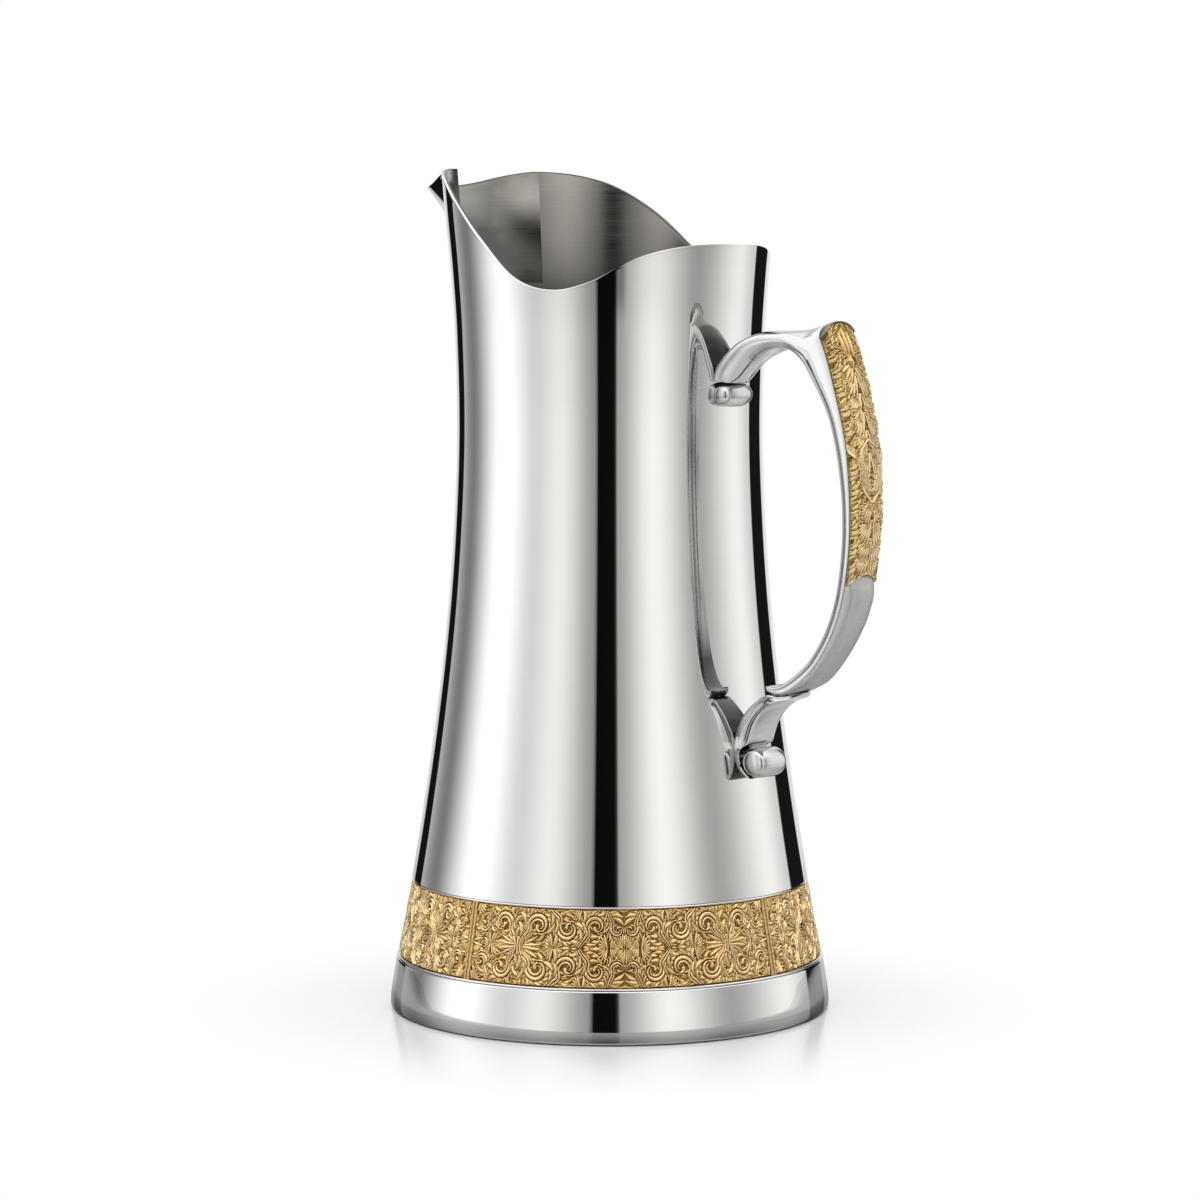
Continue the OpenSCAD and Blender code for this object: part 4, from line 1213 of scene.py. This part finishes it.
def build_plaque():
    nx, ny = 400, 46
    half = plaque_relief(nx, ny)
    full = np.concatenate([half[:0:-1], half], 0).T
    rng = np.random.default_rng(5)
    full = full + rng.normal(0, 0.008, full.shape)
    cav = cavity_of(full, PLQ_L / (nx - 1))
    hn = np.clip((full + 0.15) / 1.1, 0, 1)
    ns, nc = full.shape
    total = lengths(path(SEAT, 12))[-1]
    u = np.linspace(-1, 1, nc)
    s = np.linspace(0.95, total, ns)[:, None]
    # the upper end is arched, its edges start further down
    s = s + (ARCH + 0.35) * np.abs(u) ** 2.2 * np.clip(1 - (s - 0.95) / 18, 0, 1) ** 1.6
    # and the lower end is hollowed, its middle stops higher up
    s = s - 2.6 * (1 - u**2) * np.clip(1 - (total - s) / 12, 0, 1) ** 1.6
    g = plaque_at(s, u)
    sx, sz, dx, dz, y, q = (g[k] for k in ("x", "z", "dx", "dz", "y", "q"))
    dy, dq = np.gradient(y, axis=1), np.gradient(q, axis=1)
    l = np.hypot(dy, dq)
    fade = np.ones(nc)
    fade[0] = fade[-1] = 0.0
    # room for the relief's tops inside the plate's outline
    ends = smooth(0, 5, np.minimum(np.arange(ns), ns - 1 - np.arange(ns)))[:, None]
    rel = ((full - 1.0) * ends - 0.12 * (1 - ends)) * fade
    # shallow recesses at the lower end, so that the seat stays covered
    rel = np.maximum(rel, -1.3 + 0.9 * smooth(ns - 48, ns - 22, np.arange(ns))[:, None])
    y = y - dq / l * rel * 0.9
    q = np.maximum(q + dy / l * rel, 0.06)
    verts = np.stack([sx + dx * q, y, sz + dz * q], -1)
    idx = np.arange(ns * nc).reshape(ns, nc)
    f = np.stack([idx[:-1, :-1], idx[:-1, 1:], idx[1:, 1:], idx[1:, :-1]], -1).reshape(-1, 4).tolist()
    # back: the same stations on the seat
    by = np.where(np.abs(u) < 1, y, verts[:, :, 1])
    back = np.stack([sx + dx * 0.02, by, sz + dz * 0.02], -1)
    bi = ns * nc + np.arange(ns * nc).reshape(ns, nc)
    cut = np.arange(0, nc, 3) if (nc - 1) % 3 == 0 else np.append(np.arange(0, nc - 1, 3), nc - 1)
    keep = np.zeros((ns, nc), bool)
    keep[:, cut] = True
    keep[0], keep[-1] = True, True
    new = np.cumsum(keep.ravel()).reshape(ns, nc) - 1 + ns * nc
    for k in range(ns - 1):
        for a, b in zip(cut[:-1], cut[1:]):
            lo = [int(new[k, j]) for j in (range(a, b + 1) if k == 0 else (a, b))]
            hi = [int(new[k + 1, j]) for j in (range(a, b + 1) if k + 1 == ns - 1 else (a, b))]
            f.append(lo[::-1] + hi)
    f += np.stack([new[:-1, 0], idx[:-1, 0], idx[1:, 0], new[1:, 0]], -1).tolist()
    f += np.stack([idx[:-1, -1], new[:-1, -1], new[1:, -1], idx[1:, -1]], -1).tolist()
    f += np.stack([idx[0, :-1], new[0, :-1], new[0, 1:], idx[0, 1:]], -1).tolist()
    f += np.stack([idx[-1, 1:], new[-1, 1:], new[-1, :-1], idx[-1, :-1]], -1).tolist()
    back = back.reshape(-1, 3)[keep.ravel()]
    z = np.full(len(back), 0.2)
    add_mesh("gilt_plaque", np.vstack([verts.reshape(-1, 3), back]), f, [GILT_GRIP], ["grip_plaque"], None, 0,
             {"height": np.concatenate([hn.ravel(), z]), "cavity": np.concatenate([cav.ravel(), z])})


build_plaque()

# ---- parts that keep their own solids --------------------------------------


def dress(node, m):
    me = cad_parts[node].data
    me.materials.clear()
    me.materials.append(m)


dress("bottom_plate", SPUN)
for part in ("handle_screws", "plaque_pins", "bracket_dowel"):
    dress(part, SATIN)
dress("seal_washers", SEAL)

# ---- floor, light, camera --------------------------------------------------


def build_floor():
    n, R = 96, 0.46
    a = np.linspace(0, 2 * np.pi, n, endpoint=False)
    radii = [0.02, 0.08, 0.14, 0.2, 0.3, R]
    v = [(0, 0, 0)] + [(r * math.cos(t), r * math.sin(t), 0) for r in radii for t in a]
    f = [[0, 1 + i, 1 + (i + 1) % n] for i in range(n)]
    for k in range(len(radii) - 1):
        f += [[1 + k * n + i, 1 + (k + 1) * n + i, 1 + (k + 1) * n + (i + 1) % n, 1 + k * n + (i + 1) % n] for i in range(n)]
    me = bpy.data.meshes.new("floor")
    me.from_pydata(v, [], f)
    m, nt, b = new_mat("floor_pale")
    co = nd(nt, "ShaderNodeTexCoord").outputs["Object"]
    ln = nd(nt, "ShaderNodeVectorMath", operation="LENGTH")
    nt.links.new(co, ln.inputs[0])
    b.inputs["Base Color"].default_value = (0.66, 0.66, 0.66, 1)
    b.inputs["Roughness"].default_value = 0.16
    b.inputs["Specular IOR Level"].default_value = 0.22
    b.inputs["Emission Color"].default_value = (1, 1, 1, 1)
    b.inputs["Emission Strength"].default_value = 0.04
    em = nd(nt, "ShaderNodeEmission", Color=(1, 1, 1, 1), Strength=1.0)
    mix = nd(nt, "ShaderNodeMixShader")
    fade = nd(nt, "ShaderNodeMapRange", interpolation_type="SMOOTHSTEP")
    fade.inputs["From Min"].default_value = 0.070
    fade.inputs["From Max"].default_value = 0.145
    nt.links.new(ln.outputs["Value"], fade.inputs["Value"])
    nt.links.new(fade.outputs["Result"], mix.inputs["Fac"])
    nt.links.new(b.outputs[0], mix.inputs[1])
    nt.links.new(em.outputs[0], mix.inputs[2])
    # the metal sees the table greyer than the cleared picture shows it
    grey = nd(nt, "ShaderNodeBsdfGlossy", Color=(0.80, 0.80, 0.80, 1), Roughness=0.06)
    # painted shadow: for reflected rays the table darkens towards the foot, from 0.42 at 100 mm to 0.10 at 69 mm
    matt_painted_shadow = nd(nt, "ShaderNodeBsdfDiffuse")
    nt.links.new(span(nt, ln.outputs["Value"], 0.10, 0.42, 0.069, 0.100), matt_painted_shadow.inputs["Color"])
    near = nd(nt, "ShaderNodeMixShader", Fac=0.30)
    nt.links.new(matt_painted_shadow.outputs[0], near.inputs[1])
    nt.links.new(grey.outputs[0], near.inputs[2])
    away = nd(nt, "ShaderNodeMapRange", interpolation_type="SMOOTHSTEP")
    away.inputs["From Min"].default_value = 0.15
    away.inputs["From Max"].default_value = 0.30
    nt.links.new(ln.outputs["Value"], away.inputs["Value"])
    table = nd(nt, "ShaderNodeMixShader")
    nt.links.new(away.outputs["Result"], table.inputs["Fac"])
    nt.links.new(near.outputs[0], table.inputs[1])
    nt.links.new(grey.outputs[0], table.inputs[2])
    lp = nd(nt, "ShaderNodeLightPath")
    seen = nd(nt, "ShaderNodeMixShader")
    nt.links.new(lp.outputs["Is Camera Ray"], seen.inputs["Fac"])
    nt.links.new(table.outputs[0], seen.inputs[1])
    nt.links.new(mix.outputs[0], seen.inputs[2])
    geo = nd(nt, "ShaderNodeNewGeometry")
    clear = nd(nt, "ShaderNodeBsdfTransparent")
    both = nd(nt, "ShaderNodeMixShader")
    nt.links.new(geo.outputs["Backfacing"], both.inputs["Fac"])
    nt.links.new(seen.outputs[0], both.inputs[1])
    nt.links.new(clear.outputs[0], both.inputs[2])
    nt.links.new(both.outputs[0], nt.nodes["Material Output"].inputs["Surface"])
    me.materials.append(m)
    o = bpy.data.objects.new("floor", me)
    scene.collection.objects.link(o)


build_floor()

# The studio: a ring of soft boxes with black flags between them, and a bright top.
# Angles are from the camera's direction, positive to its right, in degrees.
SOFT = [(-180, 0.70), (-152, 0.60), (-123, 0.22), (-84, 1.36), (-56, 0.80), (-37, 1.02), (-9, 0.36), (4, 0.42),
        (32, 1.10), (66, 0.44), (107, 1.06), (128, 0.72), (154, 0.75), (180, 0.70)]
FLAGS = [(-157, -141.5), (-9.5, 4.5), (129, 154)]


def build_world():
    w = bpy.data.worlds.new("studio")
    scene.world = w
    w.use_nodes = True
    nt = w.node_tree
    nt.nodes.clear()
    d = nd(nt, "ShaderNodeTexCoord").outputs["Generated"]
    sx = nd(nt, "ShaderNodeSeparateXYZ")
    nt.links.new(d, sx.inputs[0])
    az = calc(nt, "ARCTAN2", sx.outputs[1], sx.outputs[0])
    t = calc(nt, "ADD", calc(nt, "MULTIPLY", az, 1 / (2 * math.pi)), (49 + 180) / 360)
    t = calc(nt, "FRACT", t, 0.0)
    pos = lambda a: (a + 180) / 360
    warm = lambda a, l: (l, l * (0.990 if -50 < a < 125 else 1.0), l * (0.965 if -50 < a < 125 else 1.0))
    soft = ramp(nt, t, [(pos(a), warm(a, l)) for a, l in SOFT], "EASE")
    stops = []
    for a, b in FLAGS:
        stops += [(pos(a - 0.8), (1, 1, 1)), (pos(a + 0.4), (0.012,) * 3), (pos(b - 0.4), (0.012,) * 3), (pos(b + 0.8), (1, 1, 1))]
    flags = ramp(nt, t, stops)
    wide = nd(nt, "ShaderNodeMapRange", interpolation_type="SMOOTHSTEP")
    wide.inputs["From Min"].default_value = -0.10
    wide.inputs["From Max"].default_value = -0.20
    nt.links.new(sx.outputs[2], wide.inputs["Value"])
    extra = ramp(nt, t, [(pos(2), (1, 1, 1)), (pos(3), (0.012,) * 3), (pos(9.5), (0.012,) * 3), (pos(12), (1, 1, 1))])
    both = nd(nt, "ShaderNodeMix", data_type="RGBA", blend_type="MULTIPLY")
    nt.links.new(wide.outputs["Result"], both.inputs["Factor"])
    nt.links.new(flags, both.inputs[6])
    nt.links.new(extra, both.inputs[7])
    flags = both.outputs[2]
    mul = nd(nt, "ShaderNodeMix", data_type="RGBA", blend_type="MULTIPLY")
    mul.inputs["Factor"].default_value = 1.0
    nt.links.new(soft, mul.inputs[6])
    nt.links.new(flags, mul.inputs[7])
    top = nd(nt, "ShaderNodeMapRange", interpolation_type="SMOOTHSTEP")
    top.inputs["From Min"].default_value = 0.42
    top.inputs["From Max"].default_value = 0.80
    nt.links.new(sx.outputs[2], top.inputs["Value"])
    low = nd(nt, "ShaderNodeMapRange", interpolation_type="SMOOTHSTEP")
    low.inputs["From Min"].default_value = 0.0
    low.inputs["From Max"].default_value = -0.42
    low.inputs["To Min"].default_value = 1.0
    low.inputs["To Max"].default_value = 0.45
    nt.links.new(sx.outputs[2], low.inputs["Value"])
    dim = nd(nt, "ShaderNodeMix", data_type="RGBA", blend_type="MULTIPLY")
    dim.inputs["Factor"].default_value = 1.0
    nt.links.new(mul.outputs[2], dim.inputs[6])
    nt.links.new(low.outputs["Result"], dim.inputs[7])
    mixt = nd(nt, "ShaderNodeMix", data_type="RGBA")
    nt.links.new(top.outputs["Result"], mixt.inputs["Factor"])
    nt.links.new(dim.outputs[2], mixt.inputs[6])
    mixt.inputs[7].default_value = (1.4, 1.4, 1.4, 1)
    lp = nd(nt, "ShaderNodeLightPath")
    cam = nd(nt, "ShaderNodeMix", data_type="RGBA")
    nt.links.new(lp.outputs["Is Camera Ray"], cam.inputs["Factor"])
    nt.links.new(mixt.outputs[2], cam.inputs[6])
    cam.inputs[7].default_value = (1 / 1.34, 1 / 1.34, 1 / 1.34, 1)
    bg = nd(nt, "ShaderNodeBackground", Strength=1.34)
    nt.links.new(cam.outputs[2], bg.inputs["Color"])
    out = nd(nt, "ShaderNodeOutputWorld")
    nt.links.new(bg.outputs[0], out.inputs["Surface"])


build_world()
scene.view_settings.view_transform = "Standard"

cam_data = bpy.data.cameras.new("camera")
cam_data.lens = 110.78
cam_data.sensor_width = 36.0
cam_data.clip_start, cam_data.clip_end = 0.01, 50.0
cam = bpy.data.objects.new("camera", cam_data)
scene.collection.objects.link(cam)
fwd = Vector((-0.6561, 0.7502, -0.0827)).normalized()
cam.location = (0.75385, -0.86663, 0.22256)
cam.rotation_mode = "QUATERNION"
cam.rotation_quaternion = fwd.to_track_quat("-Z", "Y")
scene.camera = cam

bpy.context.view_layer.update()
